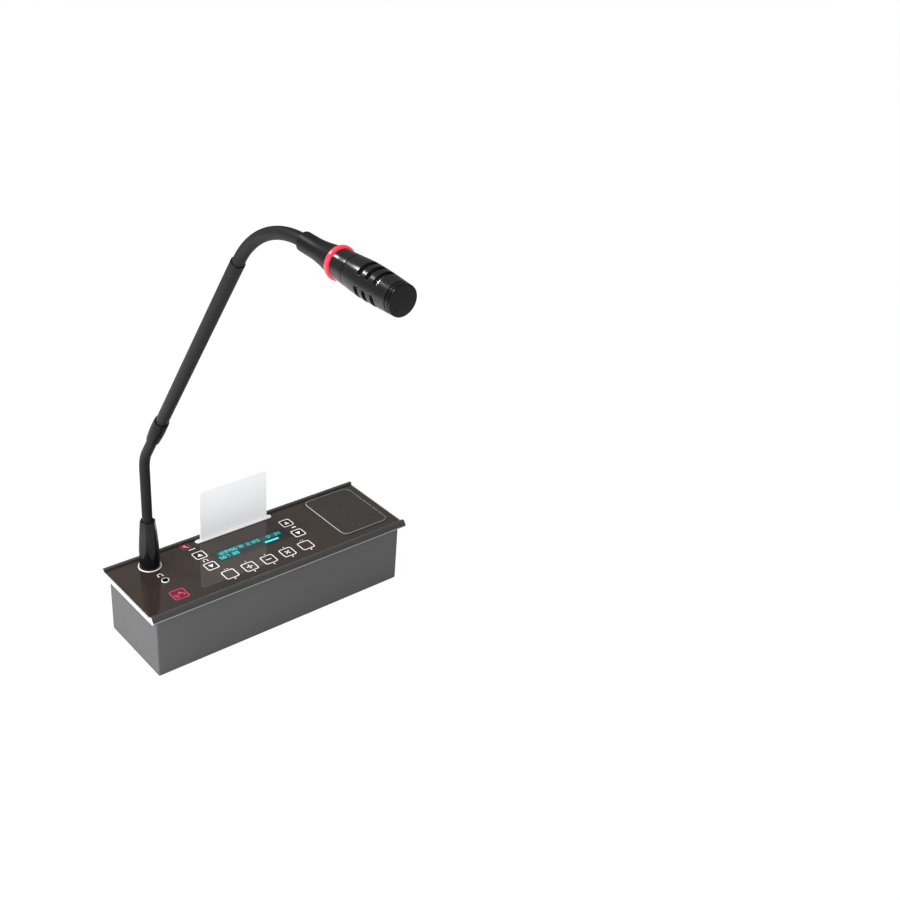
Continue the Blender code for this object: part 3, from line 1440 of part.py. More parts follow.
def build_head_rear(black_soft, red_light, black_metal, head_body):
    """The head's rear: the boot over the gooseneck, the light ring, and the sleeve that carries the ring."""
    place = along_head()
    boot_profile = [
        (0, HEAD_BOOT_NECK_DEPTH),
        (NECK_BORE, HEAD_BOOT_NECK_DEPTH),
        (NECK_BORE, 0),
        *head_boot_profile(),
        (0, HEAD_BOOT_LENGTH),
    ]
    boot = turned_piece("head_boot", black_soft, boot_profile, FINE_SIDES, place)
    ring_end = HEAD_RING_START + RING_LENGTH
    ring = turned_piece(
        "light_ring",
        red_light,
        [
            (RING_BORE, HEAD_RING_START),
            (RING_RADIUS - RING_EDGE, HEAD_RING_START),
            (RING_RADIUS, HEAD_RING_START + RING_EDGE),
            (RING_RADIUS, ring_end - RING_EDGE),
            (RING_RADIUS - RING_EDGE, ring_end),
            (RING_BORE, ring_end),
        ],
        FINE_SIDES,
        place,
    )
    sleeve_end = HEAD_SLEEVE_START + SLEEVE_LENGTH
    spigot = RING_BORE - SEAT_GAP
    sleeve = turned_piece(
        "head_sleeve",
        black_metal,
        [
            (SLEEVE_BORE, HEAD_RING_START),
            (spigot, HEAD_RING_START),
            (spigot, HEAD_SLEEVE_START),
            (SLEEVE_RADIUS, HEAD_SLEEVE_START),
            (SLEEVE_RADIUS, HEAD_SLEEVE_START + SLEEVE_LENGTH * SLEEVE_STRAIGHT_SHARE),
            (HOUSING_REAR_RADIUS, sleeve_end),
            (SLEEVE_BORE, sleeve_end),
        ],
        FINE_SIDES,
        place,
    )
    for item in (boot, ring, sleeve):
        attach(item, head_body)


def build_housing(black_metal, head_body):
    """The barrel-shaped capsule housing, with three rows of slots cut through its wall."""
    place = along_head()
    profile = []
    for i in range(HOUSING_STEPS + 1):
        share = i / HOUSING_STEPS
        radius = barrel_radius(
            share, HOUSING_REAR_RADIUS, HOUSING_BELLY_RADIUS, HOUSING_FRONT_RADIUS, HOUSING_BELLY_SHARE
        )
        profile.append((radius, HEAD_HOUSING_START + HOUSING_LENGTH * share))
    profile.append((HOUSING_BORE, HEAD_HOUSING_START + HOUSING_LENGTH))
    profile.append((HOUSING_BORE, HEAD_HOUSING_START))
    housing = turned_piece("capsule_housing", black_metal, profile, FINE_SIDES, place)
    slots = bmesh.new()
    for row in range(SLOT_ROWS):
        middle = HEAD_HOUSING_START + SLOT_FIRST + row * SLOT_PITCH
        for turn in range(SLOTS_ROUND):
            centre = math.pi / 2 + SLOT_TURN + 2 * math.pi * turn / SLOTS_ROUND
            add_prism(slots, slot_outline(centre), middle - SLOT_WIDTH / 2, middle + SLOT_WIDTH / 2)
    cutter = cut(housing, slots, "housing_slots", place)
    for item in (housing, cutter):
        attach(item, head_body)


def build_capsule(steel, brass, head_body):
    """Behind the slots: the tube of mesh, and the capsule in the middle of it."""
    place = along_head()
    mesh_start = HEAD_HOUSING_START + MESH_START
    mesh_end = mesh_start + MESH_LENGTH
    mesh = turned_piece(
        "capsule_mesh",
        steel,
        [
            (MESH_RADIUS - MESH_WALL, mesh_start),
            (MESH_RADIUS, mesh_start),
            (MESH_RADIUS, mesh_end),
            (MESH_RADIUS - MESH_WALL, mesh_end),
        ],
        INNER_SIDES,
        place,
    )
    capsule_start = HEAD_HOUSING_START + CAPSULE_START
    capsule = turned_piece(
        "capsule",
        brass,
        [
            (0, capsule_start),
            (CAPSULE_RADIUS, capsule_start),
            (CAPSULE_RADIUS, capsule_start + CAPSULE_LENGTH),
            (0, capsule_start + CAPSULE_LENGTH),
        ],
        INNER_SIDES,
        place,
    )
    for item in (mesh, capsule):
        attach(item, head_body)


def build_front_cap(black_metal, head_body):
    """The front cap: a spigot that enters the mesh's end, a groove round the rim and a rounded front edge."""
    groove_radius = CAP_FRONT_RADIUS - CAP_GROOVE_DEPTH
    groove_start = HEAD_CAP_START + CAP_GROOVE_START
    cap_end = HEAD_CAP_START + CAP_LENGTH
    spigot_start = HEAD_CAP_START - CAP_SPIGOT_LENGTH
    profile = [
        (0, spigot_start),
        (MESH_RADIUS, spigot_start),
        (MESH_RADIUS, HEAD_CAP_START),
        (HOUSING_FRONT_RADIUS, HEAD_CAP_START),
        (CAP_FRONT_RADIUS, groove_start),
        (groove_radius, groove_start),
        (groove_radius, groove_start + CAP_GROOVE_WIDTH),
        (CAP_FRONT_RADIUS, groove_start + CAP_GROOVE_WIDTH),
    ]
    for i in range(CAP_EDGE_STEPS + 1):
        angle = math.pi / 2 * i / CAP_EDGE_STEPS
        radius = CAP_FRONT_RADIUS - CAP_EDGE + CAP_EDGE * math.cos(angle)
        profile.append((radius, cap_end - CAP_EDGE + CAP_EDGE * math.sin(angle)))
    profile.append((0, cap_end))
    attach(turned_piece("front_cap", black_metal, profile, FINE_SIDES, along_head()), head_body)


def slot_outline(centre):
    """One slot's wedge, seen along the head: an arc outside the housing and one inside its bore."""
    outer = HOUSING_BELLY_RADIUS + CUT_OVERRUN
    inner = HOUSING_BORE - CUT_OVERRUN
    points = []
    for radius, order in ((outer, range(SLOT_STEPS + 1)), (inner, reversed(range(SLOT_STEPS + 1)))):
        for i in order:
            angle = centre - SLOT_SPAN / 2 + SLOT_SPAN * i / SLOT_STEPS
            points.append((radius * math.cos(angle), radius * math.sin(angle)))
    return points


def bus_port_outline(x):
    """A network port seen from behind: the port, the step of its key below it and the latch's groove."""
    low = BUS_SOCKET_LOW + BUS_PORT_LIFT
    high = low + BUS_PORT_HEIGHT
    key = low - BUS_KEY_HEIGHT
    latch = key - BUS_LATCH_HEIGHT
    return [
        (x - BUS_PORT_WIDTH / 2, high),
        (x - BUS_PORT_WIDTH / 2, low),
        (x - BUS_KEY_WIDTH / 2, low),
        (x - BUS_KEY_WIDTH / 2, key),
        (x - BUS_LATCH_WIDTH / 2, key),
        (x - BUS_LATCH_WIDTH / 2, latch),
        (x + BUS_LATCH_WIDTH / 2, latch),
        (x + BUS_LATCH_WIDTH / 2, key),
        (x + BUS_KEY_WIDTH / 2, key),
        (x + BUS_KEY_WIDTH / 2, low),
        (x + BUS_PORT_WIDTH / 2, low),
        (x + BUS_PORT_WIDTH / 2, high),
    ]


def build_bus_sockets(steel):
    """The pair of network sockets on the main board: one shielded block, open through the rear wall."""
    bm = bmesh.new()
    middle_y = BUS_SOCKET_REAR - BUS_SOCKET_DEPTH / 2
    add_box(bm, BUS_SOCKET_X, middle_y, BUS_SOCKET_LOW, BUS_SOCKET_WIDTH, BUS_SOCKET_DEPTH, BUS_SOCKET_HEIGHT)
    sockets = finish("bus_sockets", bm, steel)
    ports = bmesh.new()
    across = Matrix(((1, 0, 0, 0), (0, 0, 1, 0), (0, 1, 0, 0), (0, 0, 0, 1)))
    for side in (-1, 1):
        outline = bus_port_outline(BUS_SOCKET_X + side * BUS_PORT_PITCH / 2)
        add_prism(
            ports, outline, BUS_SOCKET_REAR - BUS_PORT_DEPTH, BUS_SOCKET_REAR + CUT_OVERRUN, place=across
        )
    cut(sockets, ports, "bus_ports")


def post_places():
    """Centres of the four corner posts."""
    return [(side_x * POST_X, side_y * POST_Y) for side_x in (-1, 1) for side_y in (-1, 1)]


def build_posts(steel):
    """The hexagonal posts between the board and the frame, and the sunk screws that come up into them."""
    for number, (x, y) in enumerate(post_places(), 1):
        bm = bmesh.new()
        add_prism(
            bm,
            circle(x, y, POST_FLATS / math.sqrt(3), 6),
            BOARD_TOP + SEAT_GAP,
            FRAME_CEILING - SEAT_GAP,
            holes=(circle(x, y, SCREW_HOLE_RADIUS, SMALL_SIDES),),
        )
        finish("corner_post_{}".format(number), bm, steel)
        turned_piece(
            "base_screw_{}".format(number),
            steel,
            [
                (0, BASE_SCREW_SINK),
                (BASE_SCREW_HEAD_RADIUS, BASE_SCREW_SINK),
                (BASE_SCREW_HEAD_RADIUS, 2 * BASE_SCREW_SINK),
                (BASE_SCREW_RADIUS, SHEET_THICKNESS),
                (BASE_SCREW_RADIUS, BASE_SCREW_LENGTH),
                (0, BASE_SCREW_LENGTH),
            ],
            SMALL_SIDES,
            at(x, y),
        )


def build_main_board(board_green):
    """The main board on the standoffs, with the chips and capacitors that are soldered to it."""
    bm = bmesh.new()
    notch_left = CARD_X - READER_LENGTH / 2 - BOARD_NOTCH_MARGIN
    notch_right = CARD_X + READER_LENGTH / 2 + BOARD_NOTCH_MARGIN
    notch_front = READER_Y_LOW - BOARD_NOTCH_MARGIN
    outline = [
        (-BOARD_HALF_LENGTH, -BOARD_HALF_WIDTH),
        (BOARD_HALF_LENGTH, -BOARD_HALF_WIDTH),
        (BOARD_HALF_LENGTH, BOARD_HALF_WIDTH),
        (notch_right, BOARD_HALF_WIDTH),
        (notch_right, notch_front),
        (notch_left, notch_front),
        (notch_left, BOARD_HALF_WIDTH),
        (-BOARD_HALF_LENGTH, BOARD_HALF_WIDTH),
    ]
    holes = [circle(x, y, SCREW_HOLE_RADIUS, SMALL_SIDES) for x, y in post_places()]
    add_prism(bm, outline, BOARD_LOW, BOARD_TOP, holes=holes)
    board = finish("main_board", bm, board_green)

    parts = bmesh.new()
    low = BOARD_TOP - SOLDER_SINK
    quarter = BOARD_HALF_LENGTH / 2
    parts_y = BOARD_PARTS_INSET - BOARD_HALF_WIDTH
    add_box(parts, 0, 0, low, PROCESSOR_SIZE, PROCESSOR_SIZE, PROCESSOR_HEIGHT)
    add_box(parts, PROCESSOR_SIZE + MEMORY_SIZE, 0, low, MEMORY_SIZE, PROCESSOR_SIZE, MEMORY_HEIGHT)
    add_box(parts, quarter, parts_y, low, AMPLIFIER_SIZE, AMPLIFIER_SIZE, AMPLIFIER_HEIGHT)
    add_box(parts, -quarter, parts_y, low, MEMORY_SIZE, AMPLIFIER_SIZE, MEMORY_HEIGHT)
    spread = 3 * CAPACITOR_RADIUS
    for x in (quarter + spread, quarter + 2 * spread, -quarter - spread, -quarter - 2 * spread):
        add_prism(parts, circle(x, parts_y, CAPACITOR_RADIUS, SMALL_SIDES), low, low + CAPACITOR_HEIGHT)
    cut(board, parts, "board_parts", operation="UNION")


PIVOT_PLACES = {}


def add_pivot(name, place, parent=None):
    """An empty on a joint's axis. The pieces that the joint moves are parented to it."""
    pivot = bpy.data.objects.new(name, None)
    origin = Vector(place)
    PIVOT_PLACES[name] = origin
    pivot.location = origin
    if parent is not None:
        pivot.parent = parent
        pivot.location = origin - PIVOT_PLACES[parent.name]
    bpy.context.scene.collection.objects.link(pivot)
    return pivot


def attach(item, pivot):
    """Parents an object to a pivot and leaves it where it is in the world."""
    item.parent = pivot
    item.location = item.location - PIVOT_PLACES[pivot.name]


def main():
    clear_scene()
    grey = paint("grey_paint", (0.115, 0.115, 0.118), 0.55, 0.1)
    aluminium = paint("dark_anodised", (0.075, 0.078, 0.078), 0.35, 0.7)
    glass = paint("brown_glass", (0.045, 0.032, 0.027), 0.12)
    board_green = paint("board_green", (0.02, 0.16, 0.07), 0.5)
    lcd_dark = paint("display_dark", (0.01, 0.05, 0.05), 0.15)
    light_white = paint("light_guide", (0.85, 0.87, 0.88), 0.4)
    steel = paint("bright_steel", (0.55, 0.55, 0.56), 0.35, 1.0)
    silver = paint("satin_silver", (0.75, 0.75, 0.76), 0.3, 0.9)
    black_plastic = paint("black_plastic", (0.02, 0.02, 0.021), 0.5)
    white_plastic = paint("white_plastic", (0.8, 0.8, 0.78), 0.5)
    card_white = paint("card_white", (0.82, 0.82, 0.83), 0.35)
    gold = paint("gold_plating", (0.83, 0.62, 0.25), 0.3, 1.0)
    black_metal = paint("black_lacquer", (0.028, 0.028, 0.029), 0.42, 0.2)
    black_soft = paint("black_rubber", (0.03, 0.03, 0.031), 0.5)
    foam = paint("black_foam", (0.015, 0.015, 0.015), 0.95)
    rubber = paint("speaker_rubber", (0.02, 0.02, 0.02), 0.7)
    paper = paint("cone_paper", (0.05, 0.05, 0.055), 0.8)
    copper = paint("copper_wire", (0.7, 0.33, 0.18), 0.35, 1.0)
    ferrite = paint("ferrite", (0.06, 0.06, 0.065), 0.6, 0.3)
    brass = paint("brass", (0.7, 0.55, 0.28), 0.35, 1.0)
    red_light = paint("red_light", (1.0, 0.045, 0.06), 0.4)
    gooseneck = paint("gooseneck_black", (0.032, 0.032, 0.033), 0.45, 0.2)

    card_body = add_pivot("card_pivot", (CARD_X, CARD_Y, CARD_BOTTOM))
    mic_body = add_pivot("mic_pivot", (SOCKET_X, SOCKET_Y, BOOT_LOW))
    cone_body = add_pivot("cone_pivot", (GRILLE_X, GRILLE_Y, BASKET_LOW))

    build_box(grey)
    build_frame(aluminium)
    build_glass(glass)
    build_touch_board(board_green)
    build_display(lcd_dark, light_white, steel)
    build_bezel(silver)
    build_reader(black_plastic, white_plastic)
    build_card(card_white, gold, card_body)
    build_grille(black_metal)
    build_basket(foam, steel)
    build_surround(rubber)
    build_cone(paper, copper, cone_body)
    build_motor(steel, ferrite)
    build_socket(silver, steel, black_plastic)
    build_plug(silver, gold, mic_body)
    build_base_boot(black_soft, mic_body)
    build_jack(silver, black_plastic)
    stem_body = build_neck(
        "lower_neck", gooseneck, lower_neck_line(), LOWER_NECK_FIRST, LOWER_NECK_LAST, mic_body
    )
    build_stem(black_soft, black_metal, stem_body)
    head_body = build_neck(
        "upper_neck", gooseneck, upper_neck_line(), UPPER_NECK_FIRST, UPPER_NECK_LAST, stem_body
    )
    build_head_rear(black_soft, red_light, black_metal, head_body)
    build_housing(black_metal, head_body)
    build_capsule(steel, brass, head_body)
    build_front_cap(black_metal, head_body)
    build_bus_sockets(steel)
    build_posts(steel)
    build_main_board(board_green)


main()
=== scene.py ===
"""Looks of a flush-mounted conference delegate unit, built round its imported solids. Metres, +Z up.

The box's bottom is z = 0, the loudspeaker is at +X and the person who speaks sits at -Y.
"""

import bmesh
import bpy
import numpy as np
from mathutils import Matrix, Vector
from mathutils.geometry import tessellate_polygon


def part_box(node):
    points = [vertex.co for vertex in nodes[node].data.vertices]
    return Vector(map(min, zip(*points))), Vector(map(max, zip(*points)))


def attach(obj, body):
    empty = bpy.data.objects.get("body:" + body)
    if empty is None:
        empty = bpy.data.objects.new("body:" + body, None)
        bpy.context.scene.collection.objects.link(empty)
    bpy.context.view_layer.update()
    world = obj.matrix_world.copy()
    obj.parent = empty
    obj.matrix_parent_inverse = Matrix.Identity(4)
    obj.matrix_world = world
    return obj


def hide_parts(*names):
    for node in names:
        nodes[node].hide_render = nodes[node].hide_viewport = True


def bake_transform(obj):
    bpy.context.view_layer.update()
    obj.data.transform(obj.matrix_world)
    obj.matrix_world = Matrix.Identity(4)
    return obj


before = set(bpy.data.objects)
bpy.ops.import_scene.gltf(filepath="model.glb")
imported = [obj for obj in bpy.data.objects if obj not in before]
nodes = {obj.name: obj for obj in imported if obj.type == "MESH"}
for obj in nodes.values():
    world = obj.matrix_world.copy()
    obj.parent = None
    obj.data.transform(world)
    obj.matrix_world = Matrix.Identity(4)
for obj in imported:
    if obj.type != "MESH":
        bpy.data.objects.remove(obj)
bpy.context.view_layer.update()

scene = bpy.context.scene


# Camera: it stands before the unit's left end, a little higher than the microphone's head, and looks down
# along the unit. Its place and its turn were solved from the panel's edges, the card and the straight stem.

camera_turn = (1.060526, -0.073315, -0.708547)
camera_place = (-0.388357, -0.601594, 0.529106)
camera_sensor_mm, camera_lens_mm, camera_near = 36.0, 49.068, 0.01
camera = bpy.data.objects.new("camera", bpy.data.cameras.new("camera"))
camera.data.sensor_width = camera_sensor_mm
camera.data.lens = camera_lens_mm
camera.data.clip_start = camera_near
camera.rotation_euler = camera_turn
camera.location = camera_place
scene.collection.objects.link(camera)
scene.camera = camera
scene.view_settings.view_transform = "Standard"


# Studio: a pale dome lights the unit from all sides. Softboxes stand at its left, before it and above it, and
# a small one behind it draws a streak along the head. The camera sees plain white round the unit, and
# polished faces see a grey dome that pales towards the zenith.

dome_light = 0.72
dome_low_grey, dome_low_height = 0.35, 0.45
dome_high_grey, dome_high_height = 0.7, 0.95
lamp_aim = Vector((0.0, 0.0, 0.1))
white = (1.0, 1.0, 1.0, 1.0)
# Name, place, size and power of each softbox, and whether polished faces show it
softboxes = (
    ("left_softbox", (-0.95, -0.12, 0.42), 0.7, 14.0, False),
    ("top_softbox", (-0.15, -0.1, 1.1), 0.8, 1.5, False),
    ("front_softbox", (-0.3, -1.05, 0.4), 0.7, 1.2, False),
    ("rim_softbox", (-0.465, 0.60, 1.03), 0.17, 6.0, True),
)


def add_node(tree, kind, **values):
    """A shader node of one kind, with values at its inputs by name."""
    node = tree.nodes.new("ShaderNode" + kind)
    for name, value in values.items():
        node.inputs[name.replace("_", " ")].default_value = value
    return node


def join(tree, *wires):
    """A link for each (node, output, node, input)."""
    for start, output, end, entry in wires:
        tree.links.new(start.outputs[output], end.inputs[entry])


world = bpy.data.worlds.new("studio_dome")
scene.world = world
world.use_nodes = True
tree = world.node_tree
tree.nodes.clear()
light_path = add_node(tree, "LightPath")
lighting = add_node(tree, "Background", Strength=dome_light)
polish = add_node(tree, "Background")
backdrop = add_node(tree, "Background", Color=white)
direction = add_node(tree, "TexCoord")
split = add_node(tree, "SeparateXYZ")
rise = add_node(tree, "MapRange", From_Min=dome_low_height, From_Max=dome_high_height, To_Min=dome_low_grey,
                To_Max=dome_high_grey)
for_gloss = add_node(tree, "MixShader")
for_camera = add_node(tree, "MixShader")
shiny = add_node(tree, "Math")
shiny.operation = "MAXIMUM"
join(
    tree,
    (direction, "Generated", split, 0),
    (split, "Z", rise, "Value"),
    (rise, 0, polish, "Strength"),
    (light_path, "Is Glossy Ray", shiny, 0),
    (light_path, "Is Transmission Ray", shiny, 1),
    (shiny, 0, for_gloss, 0),
    (lighting, 0, for_gloss, 1),
    (polish, 0, for_gloss, 2),
    (light_path, "Is Camera Ray", for_camera, 0),
    (for_gloss, 0, for_camera, 1),
    (backdrop, 0, for_camera, 2),
    (for_camera, 0, add_node(tree, "OutputWorld"), 0),
)
for name, place, size, power, in_gloss in softboxes:
    lamp = bpy.data.objects.new(name, bpy.data.lights.new(name, "AREA"))
    lamp.data.energy = power
    lamp.data.size = size
    lamp.location = place
    lamp.visible_glossy = in_gloss
    lamp.rotation_euler = (lamp_aim - lamp.location).to_track_quat("-Z", "Y").to_euler()
    scene.collection.objects.link(lamp)


# Floor: a pale matt sheet under the box, which keeps the unit's soft shadow. To the camera most of it glows,
# so that it fades to the white behind it.

floor_reach, floor_height = 3.0, -0.0003
floor_pale = (0.9, 0.9, 0.9, 1.0)
floor_glow, floor_shadow_share = 1.06, 0.12
floor_mesh = bpy.data.meshes.new("floor")
floor_corners = np.array([(-1, -1, 0), (1, -1, 0), (1, 1, 0), (-1, 1, 0)]) * floor_reach
floor_mesh.from_pydata((floor_corners + (0, 0, floor_height)).tolist(), [], [(0, 1, 2, 3)])
floor = bpy.data.objects.new("floor", floor_mesh)
scene.collection.objects.link(floor)
pale = bpy.data.materials.new("pale_floor")
pale.use_nodes = True
tree = pale.node_tree
tree.nodes.clear()
matt = add_node(tree, "BsdfDiffuse", Color=floor_pale)
glow = add_node(tree, "Emission", Color=white, Strength=floor_glow)
share = add_node(tree, "Math")
share.operation = "MULTIPLY"
share.inputs[1].default_value = 1.0 - floor_shadow_share
blend = add_node(tree, "MixShader")
join(
    tree,
    (add_node(tree, "LightPath"), "Is Camera Ray", share, 0),
    (share, 0, blend, 0),
    (matt, 0, blend, 1),
    (glow, 0, blend, 2),
    (blend, 0, add_node(tree, "OutputMaterial"), 0),
)
floor_mesh.materials.append(pale)


# Box: a folded and welded tray of sheet steel, sprayed in a satin mid grey. Its rear wall has a window for
# the network sockets, and its floor is clamped by four sunk screws.

edge_curvature, least_distance = 1500.0, 1e-6
doubles_apart = 1e-7
bevel_segments, bevel_turn = 2, np.radians(40)
# Places of the colours among a Mix node's inputs, and of the mixed colour among its outputs
mix_first, mix_second, mix_result = 6, 7, 2


def finish(name, colour, roughness, metallic=0.0, drift=0.05, drift_scale=55, grain=(2400, 4e-6),
           roughness_spread=0.06, edge_tone=1.25, specular=0.5, glow=0.0):
    """A paint, plastic or metal finish. Its colour goes from the 0 to 255 scale to linear values by
    ((c + 0.055) / 1.055) ** 2.4 above a short straight toe.

    The colour drifts by a share over broad noise and turns to edge_tone times itself where the attribute
    "edge" rises to 1, in patches over the same noise: a painted highlight along sharp edges. Fine noise of
    grain's scale and depth moves the roughness by roughness_spread and raises the surface.
    """
    value = np.array(colour) / 255.0
    linear = np.where(value <= 0.04045, value / 12.92, ((value + 0.055) / 1.055) ** 2.4)
    material = bpy.data.materials.new(name)
    material.use_nodes = True
    tree = material.node_tree
    shader = tree.nodes["Principled BSDF"]
    shader.inputs["Metallic"].default_value = metallic
    shader.inputs["Specular IOR Level"].default_value = specular
    if glow:
        shader.inputs["Emission Color"].default_value = (*linear, 1.0)
        shader.inputs["Emission Strength"].default_value = glow
    place = add_node(tree, "TexCoord")
    broad = add_node(tree, "TexNoise", Scale=drift_scale, Detail=4.0)
    fine = add_node(tree, "TexNoise", Scale=grain[0], Detail=2.0)
    edge = add_node(tree, "Attribute")
    edge.attribute_name = "edge"
    patchy = add_node(tree, "Math")
    patchy.operation = "MULTIPLY"
    # The second mix paints a highlight on sharp edges, where "edge" is high.
    tone, edge_highlight = add_node(tree, "Mix"), add_node(tree, "Mix")
    tone.data_type = edge_highlight.data_type = "RGBA"
    for node, entry, strength in ((tone, mix_first, 1.0 - drift), (tone, mix_second, 1.0 + drift),
                                  (edge_highlight, mix_second, edge_tone)):
        node.inputs[entry].default_value = (*np.clip(linear * strength, 0.0, 1.0), 1.0)
    spread = add_node(tree, "MapRange", To_Min=max(0.0, roughness - roughness_spread),
                      To_Max=min(1.0, roughness + roughness_spread))
    bump = add_node(tree, "Bump", Distance=grain[1])
    join(
        tree,
        (place, "Object", broad, "Vector"),
        (place, "Object", fine, "Vector"),
        (broad, 0, tone, "Factor"),
        (edge, "Fac", patchy, 0),
        (broad, 0, patchy, 1),
        (patchy, 0, edge_highlight, "Factor"),
        (tone, mix_result, edge_highlight, mix_first),
        (edge_highlight, mix_result, shader, "Base Color"),
        (fine, 0, spread, "Value"),
        (spread, 0, shader, "Roughness"),
        (fine, 0, bump, "Height"),
        (bump, 0, shader, "Normal"),
    )
    return material


def coat(node, material):
    """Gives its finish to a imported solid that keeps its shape."""
    nodes[node].data.materials.clear()
    nodes[node].data.materials.append(material)


def quads(rows, columns, round_rows=False):
    """Four-sided faces (i, j), (i, j+1), (i+1, j+1), (i+1, j) between the points of a grid. Its columns close
    on themselves, and so do its rows where round_rows says so."""
    i = np.arange(rows if round_rows else rows - 1)[:, None]
    j = np.arange(columns)
    below = i * columns
    above = (i + 1) % rows * columns
    after = (j + 1) % columns
    corners = np.broadcast_arrays(below + j, below + after, above + after, above + j)
    return np.stack(corners, -1).reshape(-1, 4)


def read(items, name, width=1, kind=float):
    """One property of all of a mesh's faces, edges or corners, as an array."""
    values = np.empty(len(items) * width, kind)
    items.foreach_get(name, values)
    return values.reshape(-1, width) if width > 1 else values


def mark_edges(mesh):
    """Writes the attribute "edge": the turn between two faces over the distance between their middles, as a
    share of edge_curvature and at most 1, carried to the points of the edge between them."""
    loops = read(mesh.loops, "edge_index", kind=int)
    counts = read(mesh.polygons, "loop_total", kind=int)
    owner = np.repeat(np.arange(len(counts)), counts)
    order = np.argsort(loops, kind="stable")
    loops = loops[order]
    pair = np.flatnonzero(loops[1:] == loops[:-1])
    first, second = owner[order[pair]], owner[order[pair + 1]]
    normals, middles = (read(mesh.polygons, name, 3) for name in ("normal", "center"))
    turn = np.arccos(np.clip((normals[first] * normals[second]).sum(1), -1, 1))
    apart = np.linalg.norm(middles[first] - middles[second], axis=1) + least_distance
    sharpness = np.clip(turn / apart / edge_curvature, 0, 1)
    values = np.zeros(len(mesh.vertices), np.float32)
    for end in read(mesh.edges, "vertices", 2, int)[loops[pair]].T:
        np.maximum.at(values, end, sharpness)
    mesh.attributes.new("edge", "FLOAT", "POINT").data.foreach_set("value", values)


def make(name, parts, materials, body, stands_for="", place=None, bevel=0.0, smooth_angle=35.0,
         choose=None):
    """A piece from pairs of points and blocks of faces, a block for each number of corners. Its doubles are
    merged, its normals turned outwards, and its corners rounded by bevel.

    stands_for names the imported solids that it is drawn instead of, and place says where a piece that is
    worked out about its own axis belongs. choose turns the middles of the faces into material numbers.
    """
    points, faces, start = [], [], 0
    for part_points, blocks in parts:
        flat = np.asarray(part_points, float).reshape(-1, 3)
        points.append(flat)
        for block in blocks:
            faces += (np.asarray(block) + start).tolist()
        start += len(flat)
    points = np.concatenate(points)
    if place is not None:
        points = points @ np.array(place.to_3x3()).T + np.array(place.translation)
    mesh = bpy.data.meshes.new(name)
    mesh.from_pydata(points.tolist(), [], faces)
    shape = bmesh.new()
    shape.from_mesh(mesh)
    bmesh.ops.remove_doubles(shape, verts=shape.verts, dist=doubles_apart)
    bmesh.ops.recalc_face_normals(shape, faces=shape.faces)
    shape.to_mesh(mesh)
    shape.free()
    mesh.shade_smooth()
    mesh.set_sharp_from_angle(angle=np.radians(smooth_angle))
    mark_edges(mesh)
    piece = bpy.data.objects.new(name, mesh)
    scene.collection.objects.link(piece)
    for material in materials if isinstance(materials, list) else [materials]:
        mesh.materials.append(material)
    if choose is not None:
        chosen = choose(read(mesh.polygons, "center", 3)).astype(np.int32)
        mesh.polygons.foreach_set("material_index", chosen)
    if bevel:
        rounding = piece.modifiers.new("rounding", "BEVEL")
        rounding.width = bevel
        rounding.segments = bevel_segments
        rounding.limit_method = "ANGLE"
        rounding.angle_limit = bevel_turn
        rounding.harden_normals = True
    if body is not None:
        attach(piece, body)
    if stands_for:
        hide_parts(*stands_for.split())
    return piece


def round_box(x, y, length, width, corner, steps=8):
    """Four quarter circles, anticlockwise: centre + corner * (cos a, sin a), a going on by a quarter turn."""
    angle = (np.arange(4)[:, None] + np.linspace(0, 1, steps + 1)) * np.pi / 2
    side = np.array([(1, 1), (-1, 1), (-1, -1), (1, -1)])[:, None]
    centre = side * (length / 2 - corner, width / 2 - corner) + (x, y)
    return (centre + corner * np.stack([np.cos(angle), np.sin(angle)], -1)).reshape(-1, 2)


def stack(rings, heights):
    """Outlines of equal count, each lifted to its height, as one grid of points."""
    rings = np.asarray(rings, float)
    lift = np.broadcast_to(np.asarray(heights, float)[:, None, None], (*rings.shape[:2], 1))
    return np.concatenate([rings, lift], -1)


def end_caps(rows, columns):
    """The first and the last ring of a grid as one face each."""
    return np.arange(columns) + np.array([[0], [(rows - 1) * columns]])


def solid(rings, heights):
    """A closed solid through a stack of outlines, with a flat face over the first and one over the last."""
    grid = stack(rings, heights)
    return grid, [quads(*grid.shape[:2]), end_caps(*grid.shape[:2])]


def hollow(rings, heights):
    """A closed ring through a stack of outlines that comes back to its start."""
    grid = stack(rings, heights)
    return grid, [quads(*grid.shape[:2], round_rows=True)]


box_grey = finish("sprayed_grey", (84, 84, 85), 0.55, drift=0.03, grain=(1500, 9e-6), specular=0.15)
coat("chassis_box", box_grey)


# Top frame: an aluminium extrusion, anodised dark. A bead and a sloping lip run along both long sides. The
# lip's edge is painted lighter as a painted highlight, and the ends are sawn and left as bare metal round the
# glass.

half_length, half_width = (float(value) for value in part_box("top_frame")[1][:2])
rail_low = float(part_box("top_frame")[0][2])
rail_inner, rail_step, rail_foot, rail_ceiling = 0.0308, 0.0318, 0.0336, 0.0449
lip_low, lip_high, lip_edge = 0.0459, 0.0464, 0.00008
bead_top, bead_outer, bead_shoulder = 0.0496, 0.0329, (0.03325, 0.04925)
end_step, end_rim_width, end_rim_top, end_skin = 0.0978, 0.0007, 0.0478, 0.0001
end_inner, end_outer = half_length - end_rim_width, half_length - end_skin
frame_floor_top, seat_gap = 0.0457, 0.0003
socket_hole, jack_hole, speaker_opening = 0.0069, 0.0029, 0.0175
bezel_neck_length, bezel_neck_width, round_end_gap = 0.0592, 0.0026, 1e-5
touch_notch_x, touch_notch_y = -0.0623, -0.0077
most_rounding = 0.499


